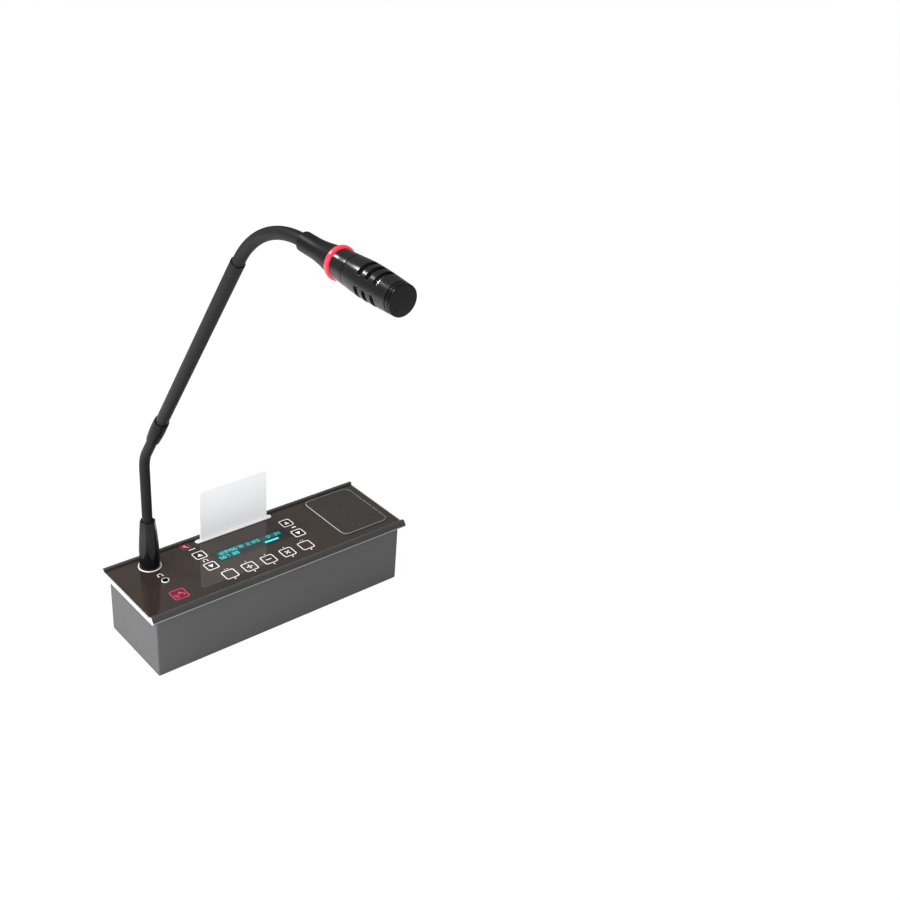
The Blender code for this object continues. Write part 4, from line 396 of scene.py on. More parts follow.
def rounded(corners, steps=5):
    """A closed outline with eased corners, from rows (u, v, radius): between A and B, each a radius from the
    corner C along its sides, the line is (1 - t)^2 A + 2 t (1 - t) C + t^2 B."""
    corners, radii = np.split(np.asarray(corners, float), [2], 1)
    back = np.roll(corners, 1, 0) - corners
    ahead = np.roll(corners, -1, 0) - corners
    back_length, ahead_length = (np.linalg.norm(side, axis=1)[:, None] for side in (back, ahead))
    reach = np.minimum(radii, np.minimum(back_length, ahead_length) * most_rounding)
    start = corners + back / back_length * reach
    end = corners + ahead / ahead_length * reach
    t = np.linspace(0, 1, steps + 1)[None, :, None]
    curve = (1 - t) ** 2 * start[:, None] + 2 * t * (1 - t) * corners[:, None] + t**2 * end[:, None]
    return curve.reshape(-1, 2)


def along_x(section, low, high):
    """A section of (y, z) points carried along X from low to high, closed at both ends."""
    section = np.asarray(section)
    count = len(section)
    grid = np.stack([np.column_stack([np.full(count, x), section]) for x in (low, high)])
    return grid, [quads(2, count), end_caps(2, count)]


def box_outline(x_low, x_high, y_low, y_high):
    """The four corners of a rectangle, anticlockwise."""
    return [(x_low, y_low), (x_high, y_low), (x_high, y_high), (x_low, y_high)]


def middle(node):
    """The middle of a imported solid's box, seen from above."""
    low, high = (np.array(corner[:2]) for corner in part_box(node))
    return ((low + high) / 2).tolist()


def even_angles(sides):
    """Angles round a full turn, one for each side."""
    return np.arange(sides) * 2 * np.pi / sides


def circle(x, y, radius, sides=48):
    """Points on a circle, anticlockwise: centre + radius * (cos a, sin a)."""
    angle = even_angles(sides)
    return np.stack([x + radius * np.cos(angle), y + radius * np.sin(angle)], -1)


def plate(outline, holes, low, high):
    """A flat plate with holes: the same triangles below and above, and a wall round each loop."""
    loops = [np.asarray(outline), *(np.asarray(hole) for hole in holes)]
    flat = np.concatenate(loops)
    count = len(flat)
    triangles = np.array(tessellate_polygon([[(*point, 0.0) for point in loop] for loop in loops]))
    points = np.concatenate([np.column_stack([flat, np.full(count, height)]) for height in (low, high)])
    blocks = [triangles, triangles + count]
    start = 0
    for loop in loops:
        around = np.arange(len(loop))
        after = (around + 1) % len(loop)
        blocks.append(np.stack([around, after, after + count, around + count], -1) + start)
        start += len(loop)
    return points, blocks


# y, z and rounding of each corner of the extrusion
rail = rounded([
    (rail_inner, rail_ceiling, 0.0), (rail_step, rail_ceiling, 0.0), (rail_step, rail_low, 0.0),
    (rail_foot, rail_low, 0.0003), (half_width, lip_low, 0.0001), (half_width, lip_high, 0.00012),
    (*bead_shoulder, 0.0003), (bead_outer, bead_top, 0.0003), (rail_inner, bead_top, 0.0007),
])
rails = [rail, rail * (-1, 1)]
rail_dark = finish("dark_anodised", (65, 65, 64), 0.3, metallic=0.2, drift=0.04, grain=(3200, 3e-6))
bare_metal = finish("sawn_aluminium", (190, 191, 192), 0.3, metallic=0.4, drift=0.04, grain=(2400, 5e-6),
                    edge_tone=1.05)
# The lip's narrow edge strip takes this lighter finish as a painted highlight.
lip_painted_highlight = finish("lip_edge_painted_highlight", (146, 146, 147), 0.3, metallic=0.3, drift=0.03, edge_tone=1.05)
make("frame_rails", [along_x(section, -end_outer, end_outer) for section in rails], [rail_dark, lip_painted_highlight],
     "unit", "top_frame", choose=lambda at: np.abs(at[:, 1]) > half_width - lip_edge)

end_bar = box_outline(-rail_inner, rail_inner, rail_low, end_rim_top)
end_parts = []
for side in (-1, 1):
    end_parts.append(along_x(end_bar, side * end_inner, side * half_length))
    end_parts += [along_x(section, side * end_outer, side * half_length) for section in rails]
make("frame_ends", end_parts, bare_metal, "unit")

socket_x, socket_y = middle("mic_socket_ring")
jack_x, jack_y = middle("jack_bushing")
card_x, card_y = middle("slot_bezel")
grille_x, grille_y = middle("speaker_grille")
touch_left, touch_front = (value - seat_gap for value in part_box("touch_board")[0][:2])
touch_right, touch_back = (value + seat_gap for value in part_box("touch_board")[1][:2])
touch_opening = [(touch_left, touch_front), (touch_right, touch_front), (touch_right, touch_back),
                 (touch_notch_x, touch_back), (touch_notch_x, touch_notch_y), (touch_left, touch_notch_y)]
slot_opening = round_box(card_x, card_y, bezel_neck_length + 2 * seat_gap, bezel_neck_width + 2 * seat_gap,
                         bezel_neck_width / 2 + seat_gap - round_end_gap)
frame_openings = [touch_opening, circle(socket_x, socket_y, socket_hole), circle(jack_x, jack_y, jack_hole),
                  circle(grille_x, grille_y, speaker_opening), slot_opening]
end_block = box_outline(-rail_inner, rail_inner, rail_low, rail_ceiling)
floor_parts = [
    plate(box_outline(-end_inner, end_inner, -rail_inner, rail_inner), frame_openings, rail_ceiling,
          frame_floor_top),
    along_x(end_block, -end_inner, -end_step),
    along_x(end_block, end_step, end_inner),
]
make("frame_floor", floor_parts, rail_dark, "unit")


# Touch glass: one sheet, printed dark brown from behind and polished, with seamed edges. It lies between the
# beads and is bored for the socket ring, the jack, the card slot and the grille.

glass_low, glass_top, glass_bevel = 0.0460, 0.0480, 0.00012
glass_length, glass_width, glass_corner, glass_corner_steps = 0.2010, 0.0610, 0.0006, 3
ring_hole, ring_hole_sides = 0.0081, 64
grille_length, grille_width, grille_corner, grille_gap = 0.0402, 0.0525, 0.0056, 0.00045
glass_brown = finish("brown_glass", (49, 40, 35), 0.045, drift_scale=22, grain=(180, 4e-7),
                     roughness_spread=0.02, edge_tone=1.6)
glass_openings = [
    circle(socket_x, socket_y, ring_hole, ring_hole_sides),
    circle(jack_x, jack_y, jack_hole),
    slot_opening,
    round_box(grille_x, grille_y, grille_length + 2 * grille_gap, grille_width + 2 * grille_gap,
              grille_corner + grille_gap),
]
glass_outline = round_box(0, 0, glass_length, glass_width, glass_corner, glass_corner_steps)
make("touch_glass_sheet", [plate(glass_outline, glass_openings, glass_low, glass_top)], glass_brown, "unit",
     "touch_glass", bevel=glass_bevel)


# Printed keys: outlines and signs fired onto the glass in pale enamel. The microphone's key and the card sign
# are red, and light comes through them.

film, print_thickness = 0.00001, 0.00003
film_high, print_low, print_high = glass_top + film, glass_top, glass_top + print_thickness
key_side, key_corner, key_line, key_steps, inner_corner_share = 0.0098, 0.0016, 0.00072, 5, 0.6
bar_ease_share, bar_steps = 0.3, 2
arrow_foot_share, arrow_ease_share, arrow_steps = 0.75, 0.2, 3
vote_x, vote_y, vote_pitch, stroke = -0.0349, -0.0176, 0.01527, 0.00085
tick_x, tick_y, tick_length, tick_width = 0.0003, -0.0062, 0.0018, 0.0008
dot_x, dot_y, dot_radius, dot_sides = 0.0006, 0.0064, 0.00042, 12
two_dots = (-0.00095, 0.00095)
# For each key of the front row, the length and the turns of its sign's bars, and where its dots lie
vote_signs = ((0, (), two_dots), (0.0046, (0, 90), (0,)), (0.0042, (0,), (0,)), (0.0046, (45, -45), (0,)),
              (0, (), two_dots))
# x and y of each arrow key, and whether it points up or down the panel
arrow_keys = ((-0.0402, 0.0128, 1), (-0.0402, -0.0025, -1), (0.0306, 0.0134, 1), (0.0306, -0.0018, -1))
arrow_side, arrow_reach = 0.0088, 0.0020
# x, y and size of each headphone sign, and x, y, length and width of each caption
headphone_signs = ((-0.0402, 0.0052, 0.0015), (-0.0734, 0.0070, 0.0016))
captions = ((0.0322, 0.0060, 0.0034, 0.0014), (-0.0408, 0.0217, 0.0052, 0.0008))
bow_line_share, pad_x_share, pad_y_share, pad_long_share, pad_wide_share = 0.28, 0.95, 0.55, 0.9, 0.6
bow_span = (-20, 200)
print_grain, glow_grain = (3000.0, 2e-6), (3000.0, 1e-6)


def prism(outline, low=print_low, high=print_high):
    """A flat solid on one outline."""
    outline = np.asarray(outline, float)
    return solid([outline, outline], [low, high])


def key_outline(x, y, side=key_side, line=key_line, corner=key_corner):
    """A key's printed outline: a band of even width between two rounded squares."""
    outer = round_box(x, y, side, side, corner, key_steps)
    inner = round_box(x, y, side - 2 * line, side - 2 * line, corner - line * inner_corner_share, key_steps)
    return hollow([outer, outer, inner, inner], [print_low, print_high, print_high, print_low])


def bar(x, y, length, width, turn=0.0, low=print_low, high=print_high):
    """A short bar with eased corners about (x, y), turned in the plane: R(turn) (u, v) + (x, y)."""
    shape = round_box(0, 0, length, width, min(length, width) * bar_ease_share, bar_steps)
    angle = np.radians(turn)
    spin = np.array([(np.cos(angle), np.sin(angle)), (-np.sin(angle), np.cos(angle))])
    return prism(shape @ spin + (x, y), low, high)


def arc_band(x, y, radius, width, start, end, steps=16):
    """A curved stroke: two joined arcs about (x, y), half a width inside and outside the radius."""
    angle = np.radians(np.linspace(start, end, steps + 1))
    ray = np.stack([np.cos(angle), np.sin(angle)], -1)
    return prism(np.concatenate([(radius + width / 2) * ray, ((radius - width / 2) * ray)[::-1]]) + (x, y))


def arrow_head(x, y, reach, up):
    """A filled triangle that points up (1) or down (-1) the panel."""
    foot, ease = -arrow_foot_share * reach, reach * arrow_ease_share
    shape = rounded([(-reach, foot, ease), (reach, foot, ease), (0, reach, ease)], arrow_steps)
    return prism(shape * (1, up) + (x, y))


def headphones(x, y, size):
    """A headphone sign: a bow over half a turn, with an ear pad at each end."""
    pad = (size * pad_long_share, size * pad_wide_share, 90)
    pads = [bar(x + side * size * pad_x_share, y - size * pad_y_share, *pad) for side in (-1, 1)]
    return [arc_band(x, y, size, size * bow_line_share, *bow_span), *pads]


def spot_and_bars(x, y, spot, bars, sides=20):
    """A filled spot (x, y, radius) and bars (x, y, length, width, turn), all seen from the sign's middle."""
    parts = [prism(circle(x + spot[0], y + spot[1], spot[2], sides))]
    return parts + [bar(x + bar_x, y + bar_y, *rest) for bar_x, bar_y, *rest in bars]


pale_marks = []
for number, (length, turns, shifts) in enumerate(vote_signs):
    key_x = vote_x + number * vote_pitch
    pale_marks.append(key_outline(key_x, vote_y))
    pale_marks.append(bar(key_x + tick_x, vote_y + tick_y, tick_length, tick_width, 90))
    pale_marks += [bar(key_x, vote_y, length, stroke, turn) for turn in turns]
    pale_marks += [prism(circle(key_x + dot_x + shift, vote_y + dot_y, dot_radius, dot_sides))
                   for shift in shifts]
arrow_shades = []
for x, y, up in arrow_keys:
    pale_marks += [key_outline(x, y, side=arrow_side), arrow_head(x, y, arrow_reach, up)]
    shade = round_box(x, y, arrow_side - key_line, arrow_side - key_line, key_corner, key_steps)
    arrow_shades.append(prism(shade, glass_top, film_high))
for sign in headphone_signs:
    pale_marks += headphones(*sign)
pale_marks += [bar(*caption) for caption in captions]
# The pale enamel's glow is painted light.
enamel_white = finish("pale_enamel", (214, 210, 208), 0.22, grain=print_grain, glow=0.1)
make("key_print", pale_marks, enamel_white, "unit")
shade_dark = finish("key_shade", (27, 23, 22), 0.06, grain=(180, 4e-7), roughness_spread=0.02, specular=0.4)
make("arrow_key_shade", arrow_shades, shade_dark, "unit")

mic_x, mic_y, mic_side, mic_line = -0.0735, -0.0183, 0.0105, 0.00045
wave_shift, wave_line, wave_span, wave_reaches = 0.0004, 0.00042, (160, 235), (0.0017, 0.0028, 0.0039)
mic_spot = (0.0009, 0.0011, 0.0011)
mic_bars = ((0.0023, 0.0001, 0.0030, 0.0008, -48), (0.0032, -0.0016, 0.0016, 0.0007, 20))
red_marks = [key_outline(mic_x, mic_y, side=mic_side, line=mic_line)]
red_marks += [arc_band(mic_x + wave_shift, mic_y - wave_shift, reach, wave_line, *wave_span)
              for reach in wave_reaches]
red_marks += spot_and_bars(mic_x, mic_y, mic_spot, mic_bars)
enamel_red = finish("red_enamel", (198, 62, 92), 0.25, drift=0.04, grain=print_grain, glow=0.3)
make("microphone_key_print", red_marks, enamel_red, "unit")
glow_print = finish("red_glow", (84, 24, 40), 0.12, drift=0.15, drift_scale=400, grain=glow_grain, glow=0.12)
glow_inset, glow_corner = 0.0012, 0.001
glow_outline = round_box(mic_x, mic_y, mic_side - glow_inset, mic_side - glow_inset, glow_corner, key_steps)
make("microphone_key_glow", [prism(glow_outline, glass_top, film_high)], glow_print, "unit")

sign_x, sign_y, sign_side, sign_line, sign_corner = -0.0430, 0.0270, 0.0060, 0.0004, 0.0006
card_spot, card_bar = (-0.0004, 0.0006, 0.0011), (0.0008, -0.0012, 0.0020, 0.0007, -45)
enamel_dim = finish("dim_red_enamel", (148, 50, 66), 0.25, drift=0.04, grain=print_grain, glow=0.15)
make("card_sign_outline", [key_outline(sign_x, sign_y, sign_side, sign_line, sign_corner)], enamel_dim,
     "unit")
enamel_pink = finish("pink_enamel", (255, 112, 150), 0.25, drift=0.04, grain=print_grain, glow=0.4)
make("card_sign_print", spot_and_bars(sign_x, sign_y, card_spot, [card_bar]), enamel_pink, "unit")


# Display: a negative text display behind the glass. Its cyan segments are lit from behind, and its window is
# a little darker and greener than the print round it.

window = (-0.0044, 0.0040, 0.0600, 0.0140, 0.0008, 4)
lcd_low, lcd_high = glass_top + film, glass_top + 2 * film
figures_high, lit_bar_high = lcd_high + film, lcd_high + 2 * film
window_dark = finish("display_window", (26, 32, 31), 0.06, grain=(900, 4e-7), specular=0.45)
make("display_window_film", [prism(round_box(*window), glass_top, lcd_low)], window_dark, "unit")

# x, y, length and width of each patch that the segments light up
glow_patches = ((-0.0048, 0.0060, 0.0515, 0.0050), (-0.0232, 0.0012, 0.0150, 0.0046),
                (0.0101, 0.0010, 0.0130, 0.0034))
patch_corner, patch_steps, patch_thickness = 0.0015, 4, 0.000005
glow_teal = finish("display_glow", (16, 62, 64), 0.12, drift=0.2, drift_scale=700, grain=glow_grain,
                   glow=0.12)
patches = [prism(round_box(*patch, patch_corner, patch_steps), lcd_low, lcd_low + patch_thickness)
           for patch in glow_patches]
make("display_glow_film", patches, glow_teal, "unit")

digit_width, digit_height, digit_line, digit_pitch, colon_reach = 0.0017, 0.0032, 0.0005, 0.00256, 0.0008
# Place of each segment in half widths and half heights, and whether it stands upright
segments = ((0, 1, False), (0.5, 0.5, True), (0.5, -0.5, True), (0, -1, False), (-0.5, -0.5, True),
            (-0.5, 0.5, True), (0, 0, False))
# The segments that each figure lights, in the same order
segments_lit = {
    "0": "1111110", "1": "0110000", "2": "1101101", "3": "1111001", "4": "0110011", "5": "1011011",
    "6": "1011111", "7": "1110000", "8": "1111111", "9": "1111011",
}
# Each row of figures, and the x and y of its start
figure_rows = (("12345678", -0.0290, 0.0064), ("0123", -0.0060, 0.0061), ("12:34", 0.0084, 0.0058),
               ("567", -0.0300, 0.0016), ("89", -0.0200, 0.0014))
lit_bar = (0.0101, 0.0008, 0.0108, 0.0017, -2)


def digits(text, x, y):
    """Figures of seven bars: three across, at -1, 0 and 1 half heights, and two upright ones on each side."""
    parts = []
    for index, figure in enumerate(text):
        left = x + index * digit_pitch
        if figure == ":":
            parts += [bar(left, y + shift, digit_line, digit_line, 0, lcd_low, figures_high)
                      for shift in (colon_reach, -colon_reach)]
        for (across, up, stands), lit in zip(segments, segments_lit.get(figure, "")):
            if lit == "1":
                length, turn = (digit_height / 2, 90) if stands else (digit_width, 0)
                parts.append(bar(left + across * digit_width, y + up * (digit_height - digit_line) / 2,
                                 length, digit_line, turn, lcd_low, figures_high))
    return parts


figures = [part for row in figure_rows for part in digits(*row)]
lcd_cyan = finish("cyan_segments", (48, 176, 178), 0.2, drift=0.08, drift_scale=300, grain=glow_grain,
                  glow=0.5)
make("display_figures", figures, lcd_cyan, "unit")
bar_cyan = finish("cyan_bar", (60, 205, 210), 0.2, drift=0.06, drift_scale=300, grain=glow_grain, glow=0.75)
make("display_bar", [bar(*lit_bar, lcd_low, lit_bar_high)], bar_cyan, "unit")


# Slot bezel: a die-cast ring in satin silver that leads the card into the slot. Its neck passes down through
# the glass, and its top is rolled over to both sides.

bezel_length, bezel_width, bezel_height, bezel_roll_share = 0.0616, 0.0042, 0.0008, 0.9
bezel_slot_length, bezel_slot_width, bezel_mouth, bezel_mouth_low = 0.0552, 0.0015, 0.0006, 0.0005
bezel_low, roll_points, round_end_ease = glass_top + seat_gap, 6, 1e-6
bezel_silver = finish("satin_silver", (240, 240, 241), 0.3, metallic=0.25, drift=0.03, grain=(2200, 3e-6),
                      edge_tone=1.05)


def stadium(length, width):
    """An outline with half-round ends about the card."""
    return round_box(card_x, card_y, length, width, width / 2 - round_end_ease)


roll = np.linspace(0, np.pi / 2, roll_points)
bezel_rings = [stadium(bezel_neck_length, bezel_neck_width)] * 2
bezel_rings += [stadium(bezel_length - 2 * drop, bezel_width - 2 * drop)
                for drop in bezel_height * bezel_roll_share * (1 - np.cos(roll))]
bezel_heights = [rail_ceiling, bezel_low]
bezel_heights += list(bezel_low + bezel_height * (1 - bezel_roll_share + bezel_roll_share * np.sin(roll)))
for length, height in ((bezel_slot_length + bezel_mouth, bezel_low + bezel_height),
                       (bezel_slot_length, bezel_low + bezel_mouth_low), (bezel_slot_length, rail_ceiling)):
    bezel_rings.append(stadium(length, length - bezel_slot_length + bezel_slot_width))
    bezel_heights.append(height)
make("slot_bezel_ring", [hollow(bezel_rings, bezel_heights)], bezel_silver, "unit",
     "slot_bezel")


# Identity card: a plain white laminated card of the standard size, with its chip's contact plate let into the
# lower end, which the reader holds.

card_width, card_length, card_thickness, card_corner = 0.05398, 0.0856, 0.00076, 0.00318
card_bottom, card_ease = 0.00245, 0.00012
upright = Matrix(((1, 0, 0, 0), (0, 0, -1, 0), (0, 1, 0, 0), (0, 0, 0, 1)))
# The card's glow is painted light, which lifts its white.
card_white = finish("card_white", (232, 232, 233), 0.38, drift=0.012, drift_scale=30, grain=(2600, 2e-6),
                    edge_tone=1.0, specular=0.4, glow=0.22)
card_rings = [
    round_box(card_x, card_bottom + card_length / 2, card_width - 2 * inset, card_length - 2 * inset,
              card_corner - inset)
    for inset in (card_ease, 0.0, 0.0, card_ease)
]
card_heights = np.array([-1, -1, 1, 1]) * card_thickness / 2 + (0, card_ease, -card_ease, 0) - card_y
make("identity_card", [solid(card_rings, card_heights)], card_white, "card", "id_card", upright)


# Loudspeaker grille: thin perforated steel, pressed to a shallow cap and sprayed matt black. The holes run
# out into the fold, so three of its sides shine as a row of dots, and the fold's faces take a lighter finish
# as a painted highlight. Black cloth is glued behind them against dust.

grille_top, grille_foot, grille_sheet, grille_bend = 0.0489, 0.0460, 0.0003, 0.0005
rim_width, inner_bend_share, fold_highlight_low, fold_highlight_high = 0.0010, 0.3, 0.35, 0.02
hole_pitch, hole_radius, hole_sides, hole_shift, hole_edge = 0.00122, 0.0005, 8, 0.25, 0.35
row_share, field_sunk, bend_points = 0.86, 0.00012, 6
row_pitch = hole_pitch * row_share
field_top, field_low = grille_top - field_sunk, grille_top - grille_sheet
inner_length, inner_width = grille_length - 2 * grille_sheet, grille_width - 2 * grille_sheet
corner_room = grille_corner - grille_sheet
grille_black = finish("grille_lacquer", (74, 73, 71), 0.4, metallic=0.2, grain=(2600, 4e-6), edge_tone=1.5)
# The fold's lighter finish is a painted highlight.
grille_fold_highlight = finish("grille_fold_painted_highlight", (176, 175, 172), 0.32, metallic=0.2, drift=0.08,
                       grain=(2600, 4e-6), edge_tone=1.1)


def rim_path(length, width, corner, cell):
    """A rounded rectangle in cells of about one length, an even number to each side and corner.

    Returns the points that the wall stands off from, its outward normals, and which cells lie on the left
    side. Along a straight side the point moves and the normal keeps, and round a corner the normal turns.
    """
    ends = np.array([(1, 1), (-1, 1), (-1, -1), (1, -1), (1, 1)]) * (length / 2 - corner, width / 2 - corner)
    feet, turns, on_left = [], [], []
    for quarter in range(4):
        span = np.linalg.norm(ends[quarter + 1] - ends[quarter])
        arc_cells, side_cells = (2 * max(1, round(reach / cell / 2)) for reach in (corner * np.pi / 2, span))
        side = np.arange(side_cells) / side_cells
        feet += [np.repeat(ends[quarter:quarter + 1], arc_cells, 0),
                 ends[quarter] + side[:, None] * (ends[quarter + 1] - ends[quarter])]
        turns += [quarter + np.arange(arc_cells) / arc_cells, np.full(side_cells, quarter + 1.0)]
        on_left += [np.full(arc_cells + side_cells, quarter == 1)]
    angle = np.concatenate(turns) * np.pi / 2
    return np.concatenate(feet), np.stack([np.cos(angle), np.sin(angle)], -1), np.concatenate(on_left)


def pierced(outer, inner, closed):
    """A wall between two grids of points, open where closed is false: faces outside and inside on the closed
    cells, and a wall from grid to grid wherever a closed cell meets an open one."""
    rows, columns = outer.shape[:2]
    points = np.concatenate([outer.reshape(-1, 3), inner.reshape(-1, 3)])
    under = rows * columns
    cell = quads(rows, columns).reshape(rows - 1, columns, 4)
    faces = [cell[closed], cell[closed] + under]
    fenced = np.pad(closed, ((1, 1), (0, 0)))
    low_side = fenced[1:-1] & ~fenced[:-2]
    high_side = fenced[1:-1] & ~fenced[2:]
    left_side = closed & ~np.roll(closed, 1, 1)
    right_side = closed & ~np.roll(closed, -1, 1)
    for side, a, b in ((low_side, 0, 1), (high_side, 2, 3), (left_side, 3, 0), (right_side, 1, 2)):
        first, last = cell[side][:, a], cell[side][:, b]
        faces.append(np.stack([first, last, last + under, first + under], -1))
    return points, [np.concatenate(faces)]


def rim_grid(insets, heights):
    """The rim's wall: foot point + (corner - inset) * normal at each height."""
    flat = rim_feet + (grille_corner - insets)[:, None, None] * rim_normals + (grille_x, grille_y)
    return stack(flat, heights)


def on_painted_fold_highlight(middles):
    """1 for the faces of the fold, which take a lighter finish as a painted highlight."""
    depth = grille_top - middles[:, 2]
    return (depth < grille_bend * fold_highlight_low) & (depth > grille_bend * fold_highlight_high)


bend = np.linspace(0, np.pi / 2, bend_points)
rim_feet, rim_normals, on_left = rim_path(grille_length, grille_width, grille_corner, hole_pitch / 2)
rim_insets = np.array([0.0, *(grille_bend * (1 - np.cos(bend))), rim_width])
rim_heights = np.array([grille_foot, *(grille_top - grille_bend * (1 - np.sin(bend))), grille_top])
sheet_rise = np.array([0.0, *(grille_sheet * np.sin(bend)), 0.0])
inner_insets = np.maximum(rim_insets, grille_sheet) + sheet_rise * inner_bend_share
inner_heights = rim_heights - sheet_rise
inner_heights[-1] -= grille_sheet
in_fold = np.pad(np.ones(len(rim_insets) - 3, bool), 1)
second = np.arange(len(rim_feet)) % 2 == 1
rim = pierced(rim_grid(rim_insets, rim_heights), rim_grid(inner_insets, inner_heights),
              ~(in_fold[:, None] & second & ~on_left))
make("speaker_grille_rim", [rim], [grille_black, grille_fold_highlight], "unit", "speaker_grille",
     choose=on_painted_fold_highlight)

# The flat field is laid with tiles, each with one hole, in rows that stand half a pitch apart
tile_columns, tile_rows = int(inner_length / hole_pitch), int(inner_width / row_pitch)
column, row = np.meshgrid(np.arange(tile_columns), np.arange(tile_rows))
tile_x = (column - (tile_columns - 1) / 2 + np.where(row % 2, hole_shift, -hole_shift)) * hole_pitch
tile_y = (row - (tile_rows - 1) / 2) * row_pitch
past_x = np.maximum(np.abs(tile_x) - (inner_length / 2 - corner_room), 0)
past_y = np.maximum(np.abs(tile_y) - (inner_width / 2 - corner_room), 0)
inside = np.hypot(past_x, past_y) < corner_room - hole_pitch * hole_edge
centres = np.stack([tile_x[inside], tile_y[inside]], -1) + (grille_x, grille_y)
tile_edge = np.array([(1, 0), (1, 1), (0, 1), (-1, 1), (-1, 0), (-1, -1), (0, -1), (1, -1)]) / 2
tile_rings = np.concatenate([tile_edge * (hole_pitch, row_pitch), circle(0, 0, hole_radius, hole_sides)])
tile_flat = centres[:, None] + tile_rings
field_points = np.stack([np.concatenate([tile_flat, np.full((*tile_flat.shape[:2], 1), height)], -1)
                         for height in (field_top, field_low)], 1)
k = np.arange(hole_sides)
after = (k + 1) % hole_sides
tile_faces = np.concatenate([np.stack([k + low, after + low, after + high, k + high], -1)
                             for low, high in np.array([(0, 1), (2, 3), (1, 3)]) * hole_sides])
tile_starts = np.arange(len(centres)) * 4 * hole_sides
field_faces = (tile_faces + tile_starts[:, None, None]).reshape(-1, 4)
make("speaker_grille_field", [(field_points, [field_faces])], grille_black, "unit",
     smooth_angle=50)

cloth_gap, cloth_thickness, cloth_inset = 0.00005, 0.0002, 0.0004
cloth_top = field_low - cloth_gap
cloth_outline = round_box(grille_x, grille_y, inner_length - 2 * cloth_inset, inner_width - 2 * cloth_inset,
                          corner_room - cloth_inset)
cloth_black = finish("grille_cloth", (13, 13, 14), 0.95, drift=0.1, grain=(1800, 2e-5), specular=0.1)
make("speaker_grille_cloth", [prism(cloth_outline, cloth_top - cloth_thickness, cloth_top)], cloth_black,
     "unit")


# Microphone socket and headphone jack: a turned ring in satin silver stands in the glass round the
# microphone's foot, and a small one round the jack. The socket's steel shell and the jack's bore go down.

ring_outer, ring_inner, ring_top = 0.0078, 0.00695, 0.0483
shell_outer, shell_inner, shell_low, shell_top = 0.0066, 0.0053, 0.02695, 0.04585
jack_outer, jack_liner, jack_bore, jack_top, jack_sides = 0.0026, 0.0021, 0.0018, 0.0484, 48
liner_slope, liner_depth = 0.00005, 0.0004
on_socket = Matrix.Translation((socket_x, socket_y, 0.0))
on_jack = Matrix.Translation((jack_x, jack_y, 0.0))


def about_axis(radii, heights, angles):
    """A grid of points (r cos a, r sin a, h)."""
    radii, level, angle = np.broadcast_arrays(radii, np.asarray(heights)[:, None], angles)
    return np.stack([radii * np.cos(angle), radii * np.sin(angle), level], -1)


def turned(profile, sides=96):
    """A profile of (radius, height) turned about Z. It closes on itself, or on the axis."""
    profile = np.asarray(profile, float)
    grid = about_axis(profile[:, :1], profile[:, 1], even_angles(sides))
    return grid, [quads(len(profile), sides, round_rows=profile[0, 0] != 0)]


def ring_section(outer, inner, low, high, eases):
    """A ring's section: its corners from low outside to low inside, each with its rounding."""
    radii, heights = (outer, outer, inner, inner), (low, high, high, low)
    return rounded(list(zip(radii, heights, eases)))


socket_ring = ring_section(ring_outer, ring_inner, glass_low, ring_top, (0.0, 0.0003, 0.00012, 0.0))
make("socket_ring", [turned(socket_ring)], bezel_silver, "unit", "mic_socket_ring", on_socket)
shell_steel = finish("nickel_shell", (150, 150, 150), 0.3, metallic=0.95, drift=0.03, grain=(1800, 3e-6))
socket_shell = ring_section(shell_outer, shell_inner, shell_low, shell_top, (0.0003, 0.0002, 0.0004, 0.0002))
make("socket_shell", [turned(socket_shell)], shell_steel, "unit", "mic_socket_shell",
     on_socket)
jack_black = finish("jack_liner", (14, 14, 15), 0.5, specular=0.3)
jack_section = rounded([
    (jack_outer, rail_ceiling, 0.0001), (jack_outer, jack_top, 0.0002), (jack_liner, jack_top, 0.0001),
    (jack_liner - liner_slope, jack_top - liner_depth, 0.0), (jack_bore, jack_top - liner_depth, 0.0001),
    (jack_bore, rail_ceiling, 0.0001),
])
make("jack_ring", [turned(jack_section, jack_sides)], [bezel_silver, jack_black], "unit",
     "jack_bushing", on_jack, choose=lambda at: np.hypot(at[:, 0] - jack_x, at[:, 1] - jack_y) < jack_liner)


# Base boot: moulded in soft black plastic over the plug. It is round at its foot, and six flats are milled
# into the mould's taper, which run out in arches half way down. The flats are matt, and lighter in colour as
# painted light.

boot_low, boot_height = 0.04615, 0.0377
boot_foot, boot_belly, boot_top_radius = 0.0066, 0.00675, 0.0051
boot_belly_height, boot_power = 0.0150, 1.35
boot_flat_start, boot_flat_top, boot_flat_turn = 0.0105, 0.93, np.radians(20)
boot_crease, boot_edge, boot_sides, boot_rows, edge_points = 0.00006, 0.0005, 240, 130, 5
neck_bore, neck_depth, plug_bore, plug_bore_top = 0.00365, 0.0170, 0.0053, 0.0140
plug_radius, plug_wall, plug_low, plug_length = 0.0050, 0.0008, 0.03285, 0.027
boot_soft = finish("boot_moulding", (15, 15, 16), 0.26, edge_tone=1.3, specular=0.25)
# The flats' finish is matt, and its lighter colour is painted light on the flats.
boot_flat_painted_light = finish("boot_flats", (37, 37, 38), 0.5, grain=(2400, 7e-6), edge_tone=1.3, specular=0.2)


